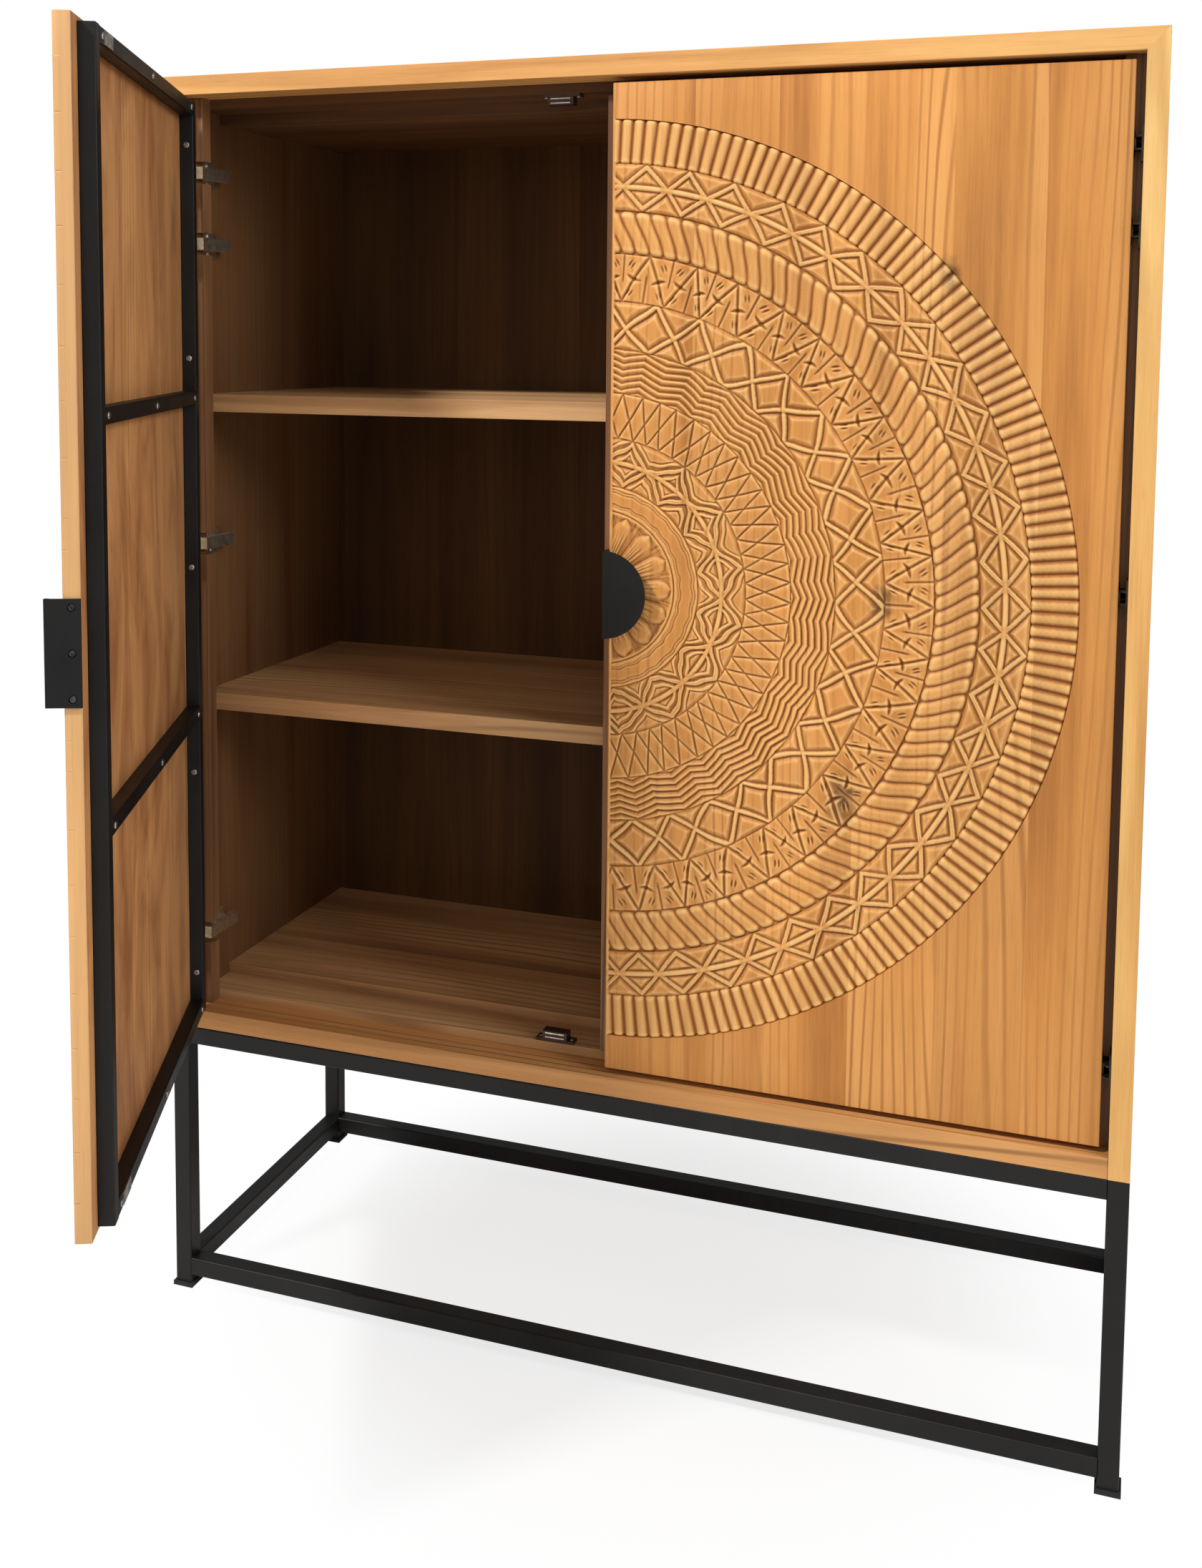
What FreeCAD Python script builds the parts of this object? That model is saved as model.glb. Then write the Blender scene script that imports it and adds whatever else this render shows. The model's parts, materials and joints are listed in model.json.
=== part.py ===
"""Carved teak cabinet with two inset doors, on an open stand of black square tube.

Millimetres, +Z up, the front faces -Y and +X is to the right as one looks at the doors.
The origin is on the floor, in the middle of the stand's footprint.
Each door is drawn in its own frame, whose origin is the foot of its hinge axis. In that frame
+Y points into the cabinet, and X points to the meeting edge: +X on the left door, -X on the right.
"""
import FreeCAD, Part
import os
import re

import Sketcher
from FreeCAD import Placement, Rotation, Vector

# Driving dimensions, in millimetres, degrees and plain shares
SIZES = {
    # Overall
    "width": 1270,
    "depth": 460,
    "height": 1680,
    # Stand of welded square tube
    "stand_height": 380,
    "stand_tube": 25,
    "stand_wall": 2,
    "stand_corner": 2.5,
    "stretcher_height": 17,
    "pad_side": 30,
    "pad_thick": 6,
    # Carcass boards
    "board": 25,
    "board_ease": 0.8,
    "back_thick": 12,
    "strip_thick": 12,
    "strip_depth": 59,
    "floor_thick": 26,
    "shelf_thick": 24,
    "lower_shelf_share": 0.35632,
    "upper_shelf_share": 0.6751,
    "packer_width": 22,
    "packer_depth": 19,
    # Door leaves and the gaps round them; the leaves meet a little right of the middle
    "door_setback": 8,
    "door_wood": 18,
    "door_ease": 1.2,
    "hinge_gap": 10,
    "head_gap": 8,
    "meeting_gap": 6,
    "meeting_shift": 5,
    "packer_gap": 1,
    "stop_gap": 2,
    # Carved round pattern across both doors: its radius, how far its middle lies past the
    # meeting edge that was trimmed after the carving, and the grooves between its rings
    "carving_radius": 574,
    "carving_past_edge": 13,
    "groove_width": 4,
    "groove_depth": 2,
    # Tube frame on the back of each door
    "frame_tube": 18,
    "frame_wall": 1.5,
    "frame_corner": 1.5,
    "frame_side_inset": 22,
    "frame_end_inset": 6,
    "rail_screw_inset": 11,
    "stile_screw_inset": 62,
    "lower_bar_share": 0.341,
    "upper_bar_share": 0.683,
    # Batten behind the meeting edge of the right door
    "batten_thick": 12,
    "batten_overlap": 12,
    "batten_inset": 12,
    # Pulls
    "pull_radius": 54.6,
    "pull_drop": 7,
    "pull_plate": 2.5,
    "pull_stand_off": 18,
    "pull_screw_radius": 4,
    "pull_screw_clearance": 0.2,
    "pull_screw_sink": 0.4,
    "cut_overrun": 1,
    "pull_screw_pitch": 46,
    # Door hinges
    "axis_offset": 9.2,
    "axis_depth": 9.8,
    "left_open_angle": 67,
    "right_open_angle": 0,
    "hinge_low_inset": 93,
    "hinge_middle_share": 0.519,
    "hinge_high_inset": 186,
    "hinge_top_inset": 91,
    "mount_plate": 2,
    "mount_height": 40,
    "leaf_height": 12,
    "leaf_thick": 2,
    "lug_thick": 2,
    "tongue_thick": 2,
    "hinge_clearance": 0.3,
    "tongue_length": 5.7,
    "tongue_depth": 10.2,
    "arm_height": 16,
    "arm_thick": 10,
    "arm_length": 50,
    "foot_plate": 3,
    "foot_plate_height": 34,
    "foot_plate_length": 42,
    "riser_height": 11,
    "notch_height": 30,
    "notch_depth": 13,
    "notch_clearance": 1,
    "cup_plate": 1.5,
    "cup_height": 26,
    "mount_screw_radius": 3.2,
    "mount_screw_head": 1.6,
    # Magnetic catches
    "catch_width": 52,
    "catch_body_width": 34,
    "catch_depth": 15,
    "catch_height": 14,
    "catch_ear": 4,
    "catch_offset": 84,
    "catch_strip_thick": 1.5,
    "catch_strip_width": 26,
    "catch_strip_gap": 4,
    "catch_strip_proud": 0.5,
    "catch_screw_radius": 3,
    "catch_screw_head": 1.5,
    "strike_width": 36,
    "strike_height": 14,
    "strike_thick": 1,
    # Round head screws of the door frames and of the stand
    "screw_radius": 4,
    "screw_head": 2,
    "screw_crown_share": 0.55,
    "stand_screw_radius": 6,
    "stand_screw_head": 3,
}

ALIAS = re.compile(r"\b[a-z]+(?:_[a-z]+)*\b")

# The grooves' radii, as shares of the carving's radius
RING_SHARES = (1, 0.907, 0.809, 0.717, 0.618, 0.515, 0.422, 0.325, 0.222, 0.168)

# Lengths that several pieces share, written in the driving dimensions
DERIVED = {
    "half_width": "width / 2",
    "half_depth": "depth / 2",
    "inner_half": "width / 2 - board",
    "inner_floor": "stand_height + board",
    "inner_top": "height - board",
    "back_front": "depth / 2 - back_thick",
    "front": "-depth / 2",
    "door_bottom": "stand_height + board + head_gap",
    "door_top": "height - board - head_gap",
    "stop_plane": "-depth / 2 + door_setback + door_wood + frame_tube + stop_gap",
    "axis_x": "width / 2 - board + axis_offset",
    "hinge_side": "axis_offset + hinge_gap",
    "left_meeting_side": "axis_x - meeting_gap / 2 - meeting_shift",
    "right_meeting_side": "axis_x - meeting_gap / 2 + meeting_shift",
    "leaf_front": "door_setback - axis_depth",
    "leaf_back": "door_setback + door_wood - axis_depth",
    "frame_back": "door_setback + door_wood + frame_tube - axis_depth",
    "carving_middle": "(stand_height + height) / 2",
    "pull_middle": "(stand_height + height) / 2 - pull_drop",
    "axis_y": "axis_depth - depth / 2",
}

# Middle heights of each door's four hinges
HINGE_LEVELS = (
    "(door_bottom + hinge_low_inset)",
    "(door_bottom + (door_top - door_bottom) * hinge_middle_share)",
    "(door_top - hinge_high_inset)",
    "(door_top - hinge_top_inset)",
)

doc = FreeCAD.newDocument("CarvedCabinet")
sheet = doc.addObject("Spreadsheet::Sheet", "Sizes")
nodes = []


def fill_sheet():
    """Write every size and every shared length into the sheet, each under its own alias."""
    row = 0
    for name, value in SIZES.items():
        row += 1
        sheet.set(f"A{row}", name)
        sheet.set(f"B{row}", str(value))
        sheet.setAlias(f"B{row}", name)
    for name, words in DERIVED.items():
        row += 1
        sheet.set(f"A{row}", name)
        sheet.set(f"B{row}", "=" + words)
        sheet.setAlias(f"B{row}", name)
    doc.recompute()


def bind(words):
    """Return the expression for words, with the sheet's name before each alias."""
    return ALIAS.sub(lambda match: "Sizes." + match.group(0), words)


def minus(words):
    """Return the expression for the opposite of words."""
    return f"-({words})"


def side(words, sign):
    """Return words for the left hand side, or their opposite where sign is -1."""
    return words if sign > 0 else minus(words)


def span(low, high, sign):
    """Return the two ends of a stretch along X, mirrored where sign is -1."""
    return (low, high) if sign > 0 else (minus(high), minus(low))


def set_place(thing, x_words="0", y_words="0", z_words="0", turn=None):
    """Bind the object's place, and its turn about Z where one is given."""
    if turn:
        thing.Placement = Placement(Vector(), Rotation(Vector(0, 0, 1), 0))
        thing.setExpression("Placement.Rotation.Angle", bind(turn))
    for axis, words in zip("xyz", (x_words, y_words, z_words)):
        if words != "0":
            thing.setExpression(f"Placement.Base.{axis}", bind(words))


def node(thing, label, place=None):
    """Give the object its file name and its place, and list it for export."""
    thing.Label = label
    if place:
        set_place(thing, *place)
    nodes.append(thing)
    return thing


def origin_plane(body, role):
    """Return the body's own origin plane with that role."""
    return next(f for f in body.Origin.OriginFeatures if f.Role == role)


def outline(sketch, points):
    """Draw a closed outline whose corners are bound to the expressions in points."""
    first = sketch.GeometryCount
    count = len(points)
    for index in range(count):
        start = Vector(index, index * index, 0)
        end = Vector(index + 1, (index + 1) ** 2, 0)
        sketch.addGeometry(Part.LineSegment(start, end), False)
    for index in range(count):
        following = first + (index + 1) % count
        sketch.addConstraint(Sketcher.Constraint("Coincident", first + index, 2, following, 1))
    for index, (across, up) in enumerate(points):
        for kind, words in (("DistanceX", across), ("DistanceY", up)):
            rule = sketch.addConstraint(Sketcher.Constraint(kind, first + index, 1, index + 1.0))
            sketch.setExpression(f"Constraints[{rule}]", bind(words))


def rectangle(low, high):
    """Return the corners of a rectangle between two opposite ones."""
    return [low, (high[0], low[1]), high, (low[0], high[1])]


def padded(body, role, outlines, start, length):
    """Pad outlines on one of the body's origin planes, from start, along the plane's normal."""
    sketch = body.newObject("Sketcher::SketchObject", "Outline")
    sketch.AttachmentSupport = [(origin_plane(body, role), "")]
    sketch.MapMode = "FlatFace"
    sketch.setExpression("AttachmentOffset.Base.z", bind(start))
    for points in outlines:
        outline(sketch, points)
    pad = body.newObject("PartDesign::Pad", "Pad")
    pad.Profile = sketch
    pad.setExpression("Length", bind(length))
    doc.recompute()
    return pad


def eased(body, base, words, chosen):
    """Round the edges of base that chosen picks by their two ends, to the radius in words."""
    edges = [
        f"Edge{number}"
        for number, edge in enumerate(base.Shape.Edges, 1)
        if chosen(edge.Vertexes[0].Point, edge.Vertexes[-1].Point)
    ]
    fillet = body.newObject("PartDesign::Fillet", "Ease")
    fillet.Base = (base, edges)
    fillet.setExpression("Radius", bind(words))
    doc.recompute()
    return fillet


def box_body(label, x_ends, y_ends, z_ends, place=None):
    """Make a board: a rectangle padded upwards, between named ends along each axis."""
    body = doc.addObject("PartDesign::Body", label)
    corners = rectangle((x_ends[0], y_ends[0]), (x_ends[1], y_ends[1]))
    height = f"({z_ends[1]}) - ({z_ends[0]})"
    padded(body, "XY_Plane", [corners], z_ends[0], height)
    return node(body, label, place)


def front_eased(body, radius):
    """Round the four edges round the front face of a board."""
    base = body.Tip
    front = base.Shape.BoundBox.YMin
    near = base.Shape.BoundBox.YLength / 4

    def on_front(start, end):
        return start.y < front + near and end.y < front + near

    eased(body, base, radius, on_front)
    return body


def long_front_eased(body, radius):
    """Round the two long edges of a mitred board's front face, and leave its ends sharp."""
    base = body.Tip
    box = base.Shape.BoundBox
    near = box.YLength / 4
    upright = box.ZLength > box.XLength

    def long_on_front(start, end):
        if start.y > box.YMin + near or end.y > box.YMin + near:
            return False
        run = abs(start.z - end.z) if upright else abs(start.x - end.x)
        return run > (box.ZLength if upright else box.XLength) / 2

    eased(body, base, radius, long_on_front)
    return body


def tube_body(label, along, ends, centre, widths, place=None):
    """Make a square tube with rounded corners along X, Y or Z.

    ends are its two ends, centre the two other coordinates of its middle, in XYZ order,
    and widths names its side, its wall and its corner radius.
    """
    tube, wall, corner = widths
    body = doc.addObject("PartDesign::Body", label)
    low = [f"({middle}) - {tube} / 2" for middle in centre]
    high = [f"({middle}) + {tube} / 2" for middle in centre]
    low_bore = [f"{words} + {wall}" for words in low]
    high_bore = [f"{words} - {wall}" for words in high]
    outlines = [rectangle(low, high), rectangle(low_bore, high_bore)]
    role = {"X": "YZ_Plane", "Y": "XZ_Plane", "Z": "XY_Plane"}[along]
    # The XZ plane's normal points to -Y, so a tube along Y starts at its far end
    start = minus(ends[1]) if along == "Y" else ends[0]
    length = f"({ends[1]}) - ({ends[0]})"
    pad = padded(body, role, outlines, start, length)
    box = pad.Shape.BoundBox
    axis = "XYZ".index(along)
    others = [index for index in range(3) if index != axis]
    limits = [(box.XMin, box.XMax), (box.YMin, box.YMax), (box.ZMin, box.ZMax)]

    def outer_corner(start_point, end_point):
        if abs(start_point[axis] - end_point[axis]) < (limits[axis][1] - limits[axis][0]) / 2:
            return False
        return all(
            min(abs(start_point[index] - limit) for limit in limits[index])
            < (limits[index][1] - limits[index][0]) / 100
            for index in others
        )

    eased(body, pad, corner, outer_corner)
    return node(body, label, place)


def front_plate(label, points, y_ends, place=None):
    """Make a plate whose outline is drawn in X and Z, between two named depths."""
    body = doc.addObject("PartDesign::Body", label)
    length = f"({y_ends[1]}) - ({y_ends[0]})"
    padded(body, "XZ_Plane", [points], minus(y_ends[1]), length)
    return node(body, label, place)


def place_box(box, x_ends, y_ends, z_ends):
    """Bind a box's sizes and its place to named ends along each axis."""
    for size, ends in zip(("Length", "Width", "Height"), (x_ends, y_ends, z_ends)):
        box.setExpression(size, bind(f"({ends[1]}) - ({ends[0]})"))
    set_place(box, x_ends[0], y_ends[0], z_ends[0])
    return box


def plain_box(x_ends, y_ends, z_ends):
    """Make a box primitive between named ends along each axis."""
    return place_box(doc.addObject("Part::Box", "Block"), x_ends, y_ends, z_ends)


def around(middle, height):
    """Return the two ends of a height centred on middle."""
    return (f"{middle} - {height} / 2", f"{middle} + {height} / 2")


def prism(points, z_ends):
    """Make an upright prism, with its outline drawn in X and Y and bound to the sheet."""
    sketch = doc.addObject("Sketcher::SketchObject", "Outline")
    outline(sketch, points)
    doc.recompute()
    block = doc.addObject("Part::Extrusion", "Prism")
    block.Base = sketch
    block.DirMode = "Custom"
    block.Dir = Vector(0, 0, 1)
    block.Solid = True
    block.setExpression("LengthFwd", bind(f"({z_ends[1]}) - ({z_ends[0]})"))
    set_place(block, z_words=z_ends[0])
    return block


def fused(parts):
    """Join touching solids of one piece."""
    fuse = doc.addObject("Part::MultiFuse", "Joined")
    fuse.Shapes = parts
    fuse.Refine = True
    return fuse


def group(label, parts, place=None):
    """List several separate solids as one sub-part."""
    whole = doc.addObject("Part::Compound", label)
    whole.Links = parts
    return node(whole, label, place)


HEADINGS = {
    "+X": Rotation(Vector(0, 0, 1), Vector(1, 0, 0)),
    "-X": Rotation(Vector(0, 0, 1), Vector(-1, 0, 0)),
    "+Y": Rotation(Vector(0, 0, 1), Vector(0, 1, 0)),
    "-Y": Rotation(Vector(0, 0, 1), Vector(0, -1, 0)),
    "+Z": Rotation(),
    "-Z": Rotation(Vector(1, 0, 0), 180),
}


def screw(heading, x_words, y_words, z_words, radius="screw_radius", head="screw_head"):
    """Make a low round screw head that stands off a face towards heading."""
    cone = doc.addObject("Part::Cone", "Screw")
    cone.setExpression("Radius1", bind(radius))
    cone.setExpression("Radius2", bind(f"{radius} * screw_crown_share"))
    cone.setExpression("Height", bind(head))
    cone.Placement = Placement(Vector(), HEADINGS[heading])
    set_place(cone, x_words, y_words, z_words)
    return cone


# Stand

STAND_TUBE = ("stand_tube", "stand_wall", "stand_corner")
LEG_X = "half_width - stand_tube / 2"
LEG_Y = "half_depth - stand_tube / 2"


def make_stand():
    """Make four legs, the two rings of tube between them, the pads and the fixing screws."""
    between_x = ("-half_width + stand_tube", "half_width - stand_tube")
    between_y = ("-half_depth + stand_tube", "half_depth - stand_tube")
    leg_ends = ("pad_thick", "stand_height")
    pads = []
    for y_name, y_sign in (("front", -1), ("back", 1)):
        for x_name, x_sign in (("left", -1), ("right", 1)):
            centre = (side(LEG_X, x_sign), side(LEG_Y, y_sign))
            tube_body(f"leg_{y_name}_{x_name}", "Z", leg_ends, centre, STAND_TUBE)
            pad_ends = [(f"{words} - pad_side / 2", f"{words} + pad_side / 2") for words in centre]
            pads.append(plain_box(pad_ends[0], pad_ends[1], ("0", "pad_thick")))
    group("foot_pads", pads)

    levels = {
        "top_rail": "stand_height - stand_tube / 2",
        "stretcher": "stretcher_height + stand_tube / 2",
    }
    for name, level in levels.items():
        for y_name, y_sign in (("front", -1), ("back", 1)):
            centre = (side(LEG_Y, y_sign), level)
            tube_body(f"{name}_{y_name}", "X", between_x, centre, STAND_TUBE)
        for x_name, x_sign in (("left", -1), ("right", 1)):
            centre = (side(LEG_X, x_sign), level)
            tube_body(f"{name}_{x_name}", "Y", between_y, centre, STAND_TUBE)

    under_rail = "stand_height - stand_tube"
    size = ("stand_screw_radius", "stand_screw_head")
    screws = []
    for y_sign in (-1, 1):
        for x_words in ("-half_width / 2", "half_width / 2"):
            screws.append(screw("-Z", x_words, side(LEG_Y, y_sign), under_rail, *size))
    for x_sign in (-1, 1):
        screws.append(screw("-Z", side(LEG_X, x_sign), "0", under_rail, *size))
    group("stand_screws", screws)


# Carcass

def make_shell():
    """Make the mitred sides and top, the bottom board and the back."""
    whole_depth = ("front", "half_depth")
    for name, sign in (("left_side", -1), ("right_side", 1)):
        outer = side("half_width", sign)
        inner = side("inner_half", sign)
        corners = [
            (outer, "stand_height"), (inner, "stand_height"),
            (inner, "inner_top"), (outer, "height"),
        ]
        long_front_eased(front_plate(name, corners, whole_depth), "board_ease")
    corners = [
        ("-half_width", "height"), ("-inner_half", "inner_top"),
        ("inner_half", "inner_top"), ("half_width", "height"),
    ]
    long_front_eased(front_plate("top_board", corners, whole_depth), "board_ease")
    inside = ("-inner_half", "inner_half")
    board = box_body("bottom_board", inside, whole_depth, ("stand_height", "inner_floor"))
    front_eased(board, "board_ease")
    box_body("back_panel", inside, ("back_front", "half_depth"), ("inner_floor", "inner_top"))


def make_interior():
    """Make the stepped floor and ceiling, the hinge strips and the two shelves."""
    inside = ("-inner_half", "inner_half")
    strip = ("stop_plane", "stop_plane + strip_depth")
    panel = ("stop_plane + strip_depth", "back_front")
    box_body("floor_strip", inside, strip, ("inner_floor", "inner_floor + strip_thick"))
    floor = box_body("floor_panel", inside, panel, ("inner_floor", "inner_floor + floor_thick"))
    front_eased(floor, "board_ease")
    box_body("ceiling_strip", inside, strip, ("inner_top - strip_thick", "inner_top"))
    ceiling = box_body("ceiling_panel", inside, panel, ("inner_top - floor_thick", "inner_top"))
    front_eased(ceiling, "board_ease")
    for name in ("lower_shelf", "upper_shelf"):
        level = f"stand_height + (height - stand_height) * {name}_share"
        heights = (f"{level} - shelf_thick", level)
        shelf = box_body(name, inside, ("stop_plane", "back_front"), heights)
        front_eased(shelf, "board_ease")
    for name, sign in (("left_hinge_strip", 1), ("right_hinge_strip", -1)):
        across = span("-inner_half", "-inner_half + packer_width", sign)
        depths = ("stop_plane - packer_depth", "stop_plane")
        strip_body = box_body(name, across, depths, ("inner_floor", "inner_top"))
        front_eased(strip_body, "board_ease")
        cut_notches(strip_body, sign)


def cut_notches(strip_body, sign):
    """Cut a notch for each hinge's arm into the inner edge of a hinge strip."""
    edge = "-inner_half + packer_width"
    across = span(f"{edge} - notch_depth", f"{edge} + cut_overrun", sign)
    depths = ("stop_plane - packer_depth - cut_overrun", "stop_plane + cut_overrun")
    for middle in HINGE_LEVELS:
        notch = strip_body.newObject("PartDesign::SubtractiveBox", "Notch")
        place_box(notch, across, depths, around(middle, "notch_height"))


# Magnetic catches

def make_catches():
    """Make the four catches: two on the floor strip and two under the ceiling strip."""
    bodies = []
    strips = []
    screws = []
    seats = (
        ("inner_floor + strip_thick", 1, "+Z"),
        ("inner_top - strip_thick", -1, "-Z"),
    )
    size = ("catch_screw_radius", "catch_screw_head")
    for seat, up, heading in seats:
        for x_sign in (-1, 1):
            middle = side("catch_offset", x_sign)

            def rise(words):
                return f"{seat} + {words}" if up > 0 else f"{seat} - ({words})"

            def heights(low, high):
                return (rise(low), rise(high)) if up > 0 else (rise(high), rise(low))

            depths = ("stop_plane", "stop_plane + catch_depth")
            wide = (f"{middle} - catch_width / 2", f"{middle} + catch_width / 2")
            narrow = (f"{middle} - catch_body_width / 2", f"{middle} + catch_body_width / 2")
            base = plain_box(wide, depths, heights("0", "catch_ear"))
            housing = plain_box(narrow, depths, heights("catch_ear", "catch_height"))
            bodies.append(fused([base, housing]))

            lit = (f"{middle} - catch_strip_width / 2", f"{middle} + catch_strip_width / 2")
            ahead = ("stop_plane - catch_strip_proud", "stop_plane")
            pair_middle = "(catch_ear + catch_height) / 2"
            for offset in (f"{pair_middle} - catch_strip_gap / 2 - catch_strip_thick",
                           f"{pair_middle} + catch_strip_gap / 2"):
                level = heights(offset, f"{offset} + catch_strip_thick")
                strips.append(plain_box(lit, ahead, level))

            ear_middle = "(catch_width + catch_body_width) / 4"
            for x_words in (f"{middle} - {ear_middle}", f"{middle} + {ear_middle}"):
                depth = "stop_plane + catch_depth / 2"
                screws.append(screw(heading, x_words, depth, rise("catch_ear"), *size))
    group("catch_bodies", bodies)
    group("catch_strips", strips)
    group("catch_screws", screws)


# Hinges

def hinge_mount(sign, middle):
    """Make the cabinet half of one hinge: a plate in the door gap with two lugs."""
    face = "-inner_half"
    plate_edge = f"{face} + mount_plate"
    plate_back = "stop_plane - packer_depth"
    plate = plain_box(
        span(face, plate_edge, sign),
        ("front + packer_gap", plate_back),
        around(middle, "mount_height"),
    )
    lug_tip = f"{face} + hinge_gap - hinge_clearance - hinge_clearance"
    lug_points = [
        (plate_edge, "front + packer_gap"),
        (f"{face} + (hinge_gap + mount_plate) / 2", "front + packer_gap"),
        (lug_tip, "axis_y"),
        (lug_tip, plate_back),
        (plate_edge, plate_back),
    ]
    points = [(side(x_words, sign), y_words) for x_words, y_words in lug_points]
    lugs = []
    clear = "leaf_height / 2 + hinge_clearance"
    lugs.append(prism(points, (f"{middle} + {clear}", f"{middle} + {clear} + lug_thick")))
    lugs.append(prism(points, (f"{middle} - {clear} - lug_thick", f"{middle} - ({clear})")))
    return fused([plate] + lugs)


def hinge_arm(sign, middle):
    """Make the arm that runs back through its notch in the hinge strip, with its foot."""
    face = "-inner_half"
    foot = plain_box(
        span(face, f"{face} + foot_plate", sign),
        ("stop_plane", "stop_plane + foot_plate_length"),
        around(middle, "foot_plate_height"),
    )
    arm_start = f"{face} + packer_width - notch_clearance - arm_thick"
    riser = plain_box(
        span(f"{face} + foot_plate", arm_start, sign),
        ("stop_plane", "stop_plane + foot_plate_length"),
        around(middle, "riser_height"),
    )
    arm = plain_box(
        span(arm_start, f"{arm_start} + arm_thick", sign),
        ("stop_plane - packer_depth + packer_gap", "stop_plane + arm_length"),
        around(middle, "arm_height"),
    )
    return fused([foot, riser, arm])


def make_hinge_mounts():
    """Make the cabinet halves of all hinges and the screws that hold them."""
    screws = []
    size = ("mount_screw_radius", "mount_screw_head")
    for name, sign in (("left_hinge_mounts", 1), ("right_hinge_mounts", -1)):
        halves = []
        for middle in HINGE_LEVELS:
            halves.append(hinge_mount(sign, middle))
            halves.append(hinge_arm(sign, middle))
            for step in (-1, 1):
                offset = "(foot_plate_height + arm_height) / 4"
                level = f"{middle} + {offset}" if step > 0 else f"{middle} - {offset}"
                x_words = side("-inner_half + foot_plate", sign)
                depth = "stop_plane + foot_plate_length / 2"
                screws.append(screw("+X" if sign > 0 else "-X", x_words, depth, level, *size))
        group(name, halves)
    group("hinge_mount_screws", screws)


# Doors

FRAME_TUBE = ("frame_tube", "frame_wall", "frame_corner")
DOOR_PLACES = {
    "left": ("-axis_x", "axis_y", "0", "-left_open_angle"),
    "right": ("axis_x", "axis_y", "0", "right_open_angle"),
}


def carve_rings(leaf, name, sign):
    """Cut the V grooves of the round pattern, whose middle lies just past the meeting edge."""
    sketch = leaf.newObject("Sketcher::SketchObject", "Grooves")
    sketch.AttachmentSupport = [(origin_plane(leaf, "XY_Plane"), "")]
    sketch.MapMode = "FlatFace"
    # The sketch's own upright axis runs through the middle of the pattern
    middle = side(f"{name}_meeting_side + carving_past_edge", sign)
    sketch.setExpression("AttachmentOffset.Base.x", bind(middle))
    sketch.setExpression("AttachmentOffset.Base.z", bind("carving_middle"))
    for share in RING_SHARES:
        radius = f"carving_radius * {share}"
        outline(sketch, [
            (f"{radius} - groove_width / 2", "leaf_front"),
            (radius, "leaf_front + groove_depth"),
            (f"{radius} + groove_width / 2", "leaf_front"),
            (f"{radius} + groove_width / 2", "leaf_front - cut_overrun"),
            (f"{radius} - groove_width / 2", "leaf_front - cut_overrun"),
        ])
    groove = leaf.newObject("PartDesign::Groove", "Rings")
    groove.Profile = sketch
    groove.ReferenceAxis = (sketch, ["V_Axis"])
    groove.Angle = 360
    doc.recompute()


def make_leaf(name, sign, place):
    """Make the wooden door leaf."""
    across = span("hinge_side", f"{name}_meeting_side", sign)
    leaf = box_body(f"{name}_door_panel", across, ("leaf_front", "leaf_back"),
                    ("door_bottom", "door_top"), place)
    front_eased(leaf, "door_ease")
    carve_rings(leaf, name, sign)


def make_frame(name, sign, place):
    """Make the tube frame on the door's back: two stiles, two rails and two crossbars."""
    middle_depth = "(leaf_back + frame_back) / 2"
    hinge_stile = "hinge_side + frame_side_inset"
    meeting_stile = f"{name}_meeting_side - frame_side_inset"
    low = "door_bottom + frame_end_inset"
    high = "door_top - frame_end_inset"
    stiles = {
        "stile_hinge": f"{hinge_stile} + frame_tube / 2",
        "stile_meeting": f"{meeting_stile} - frame_tube / 2",
    }
    for part_name, x_words in stiles.items():
        centre = (side(x_words, sign), middle_depth)
        tube_body(f"{name}_door_{part_name}", "Z", (low, high), centre, FRAME_TUBE, place)
    between = span(f"{hinge_stile} + frame_tube", f"{meeting_stile} - frame_tube", sign)
    bars = {
        "rail_bottom": f"{low} + frame_tube / 2",
        "rail_top": f"{high} - frame_tube / 2",
        "crossbar_lower": "door_bottom + (door_top - door_bottom) * lower_bar_share",
        "crossbar_upper": "door_bottom + (door_top - door_bottom) * upper_bar_share",
    }
    for part_name, z_words in bars.items():
        centre = (middle_depth, z_words)
        tube_body(f"{name}_door_{part_name}", "X", between, centre, FRAME_TUBE, place)

    # Screws: three on the back of each crossbar and rail, and five down the inner side of each stile
    middle = f"(hinge_side + {name}_meeting_side) / 2"
    half_way = f"({name}_meeting_side - hinge_side) / 2"
    end = f"{half_way} - frame_side_inset - frame_tube - rail_screw_inset"
    screws = []
    for z_words in bars.values():
        for x_words in (f"{middle} - ({end})", middle, f"{middle} + {end}"):
            screws.append(screw("+Y", side(x_words, sign), "frame_back", z_words))
    inner_sides = {
        f"{hinge_stile} + frame_tube": ("+X", "-X"),
        f"{meeting_stile} - frame_tube": ("-X", "+X"),
    }
    step = "(door_top - door_bottom - 2 * stile_screw_inset) / 4"
    for x_words, headings in inner_sides.items():
        for number in range(5):
            z_words = f"door_bottom + stile_screw_inset + {step} * {number}"
            screws.append(screw(headings[sign < 0], side(x_words, sign), middle_depth, z_words))
    group(f"{name}_door_frame_screws", screws, place)


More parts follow.
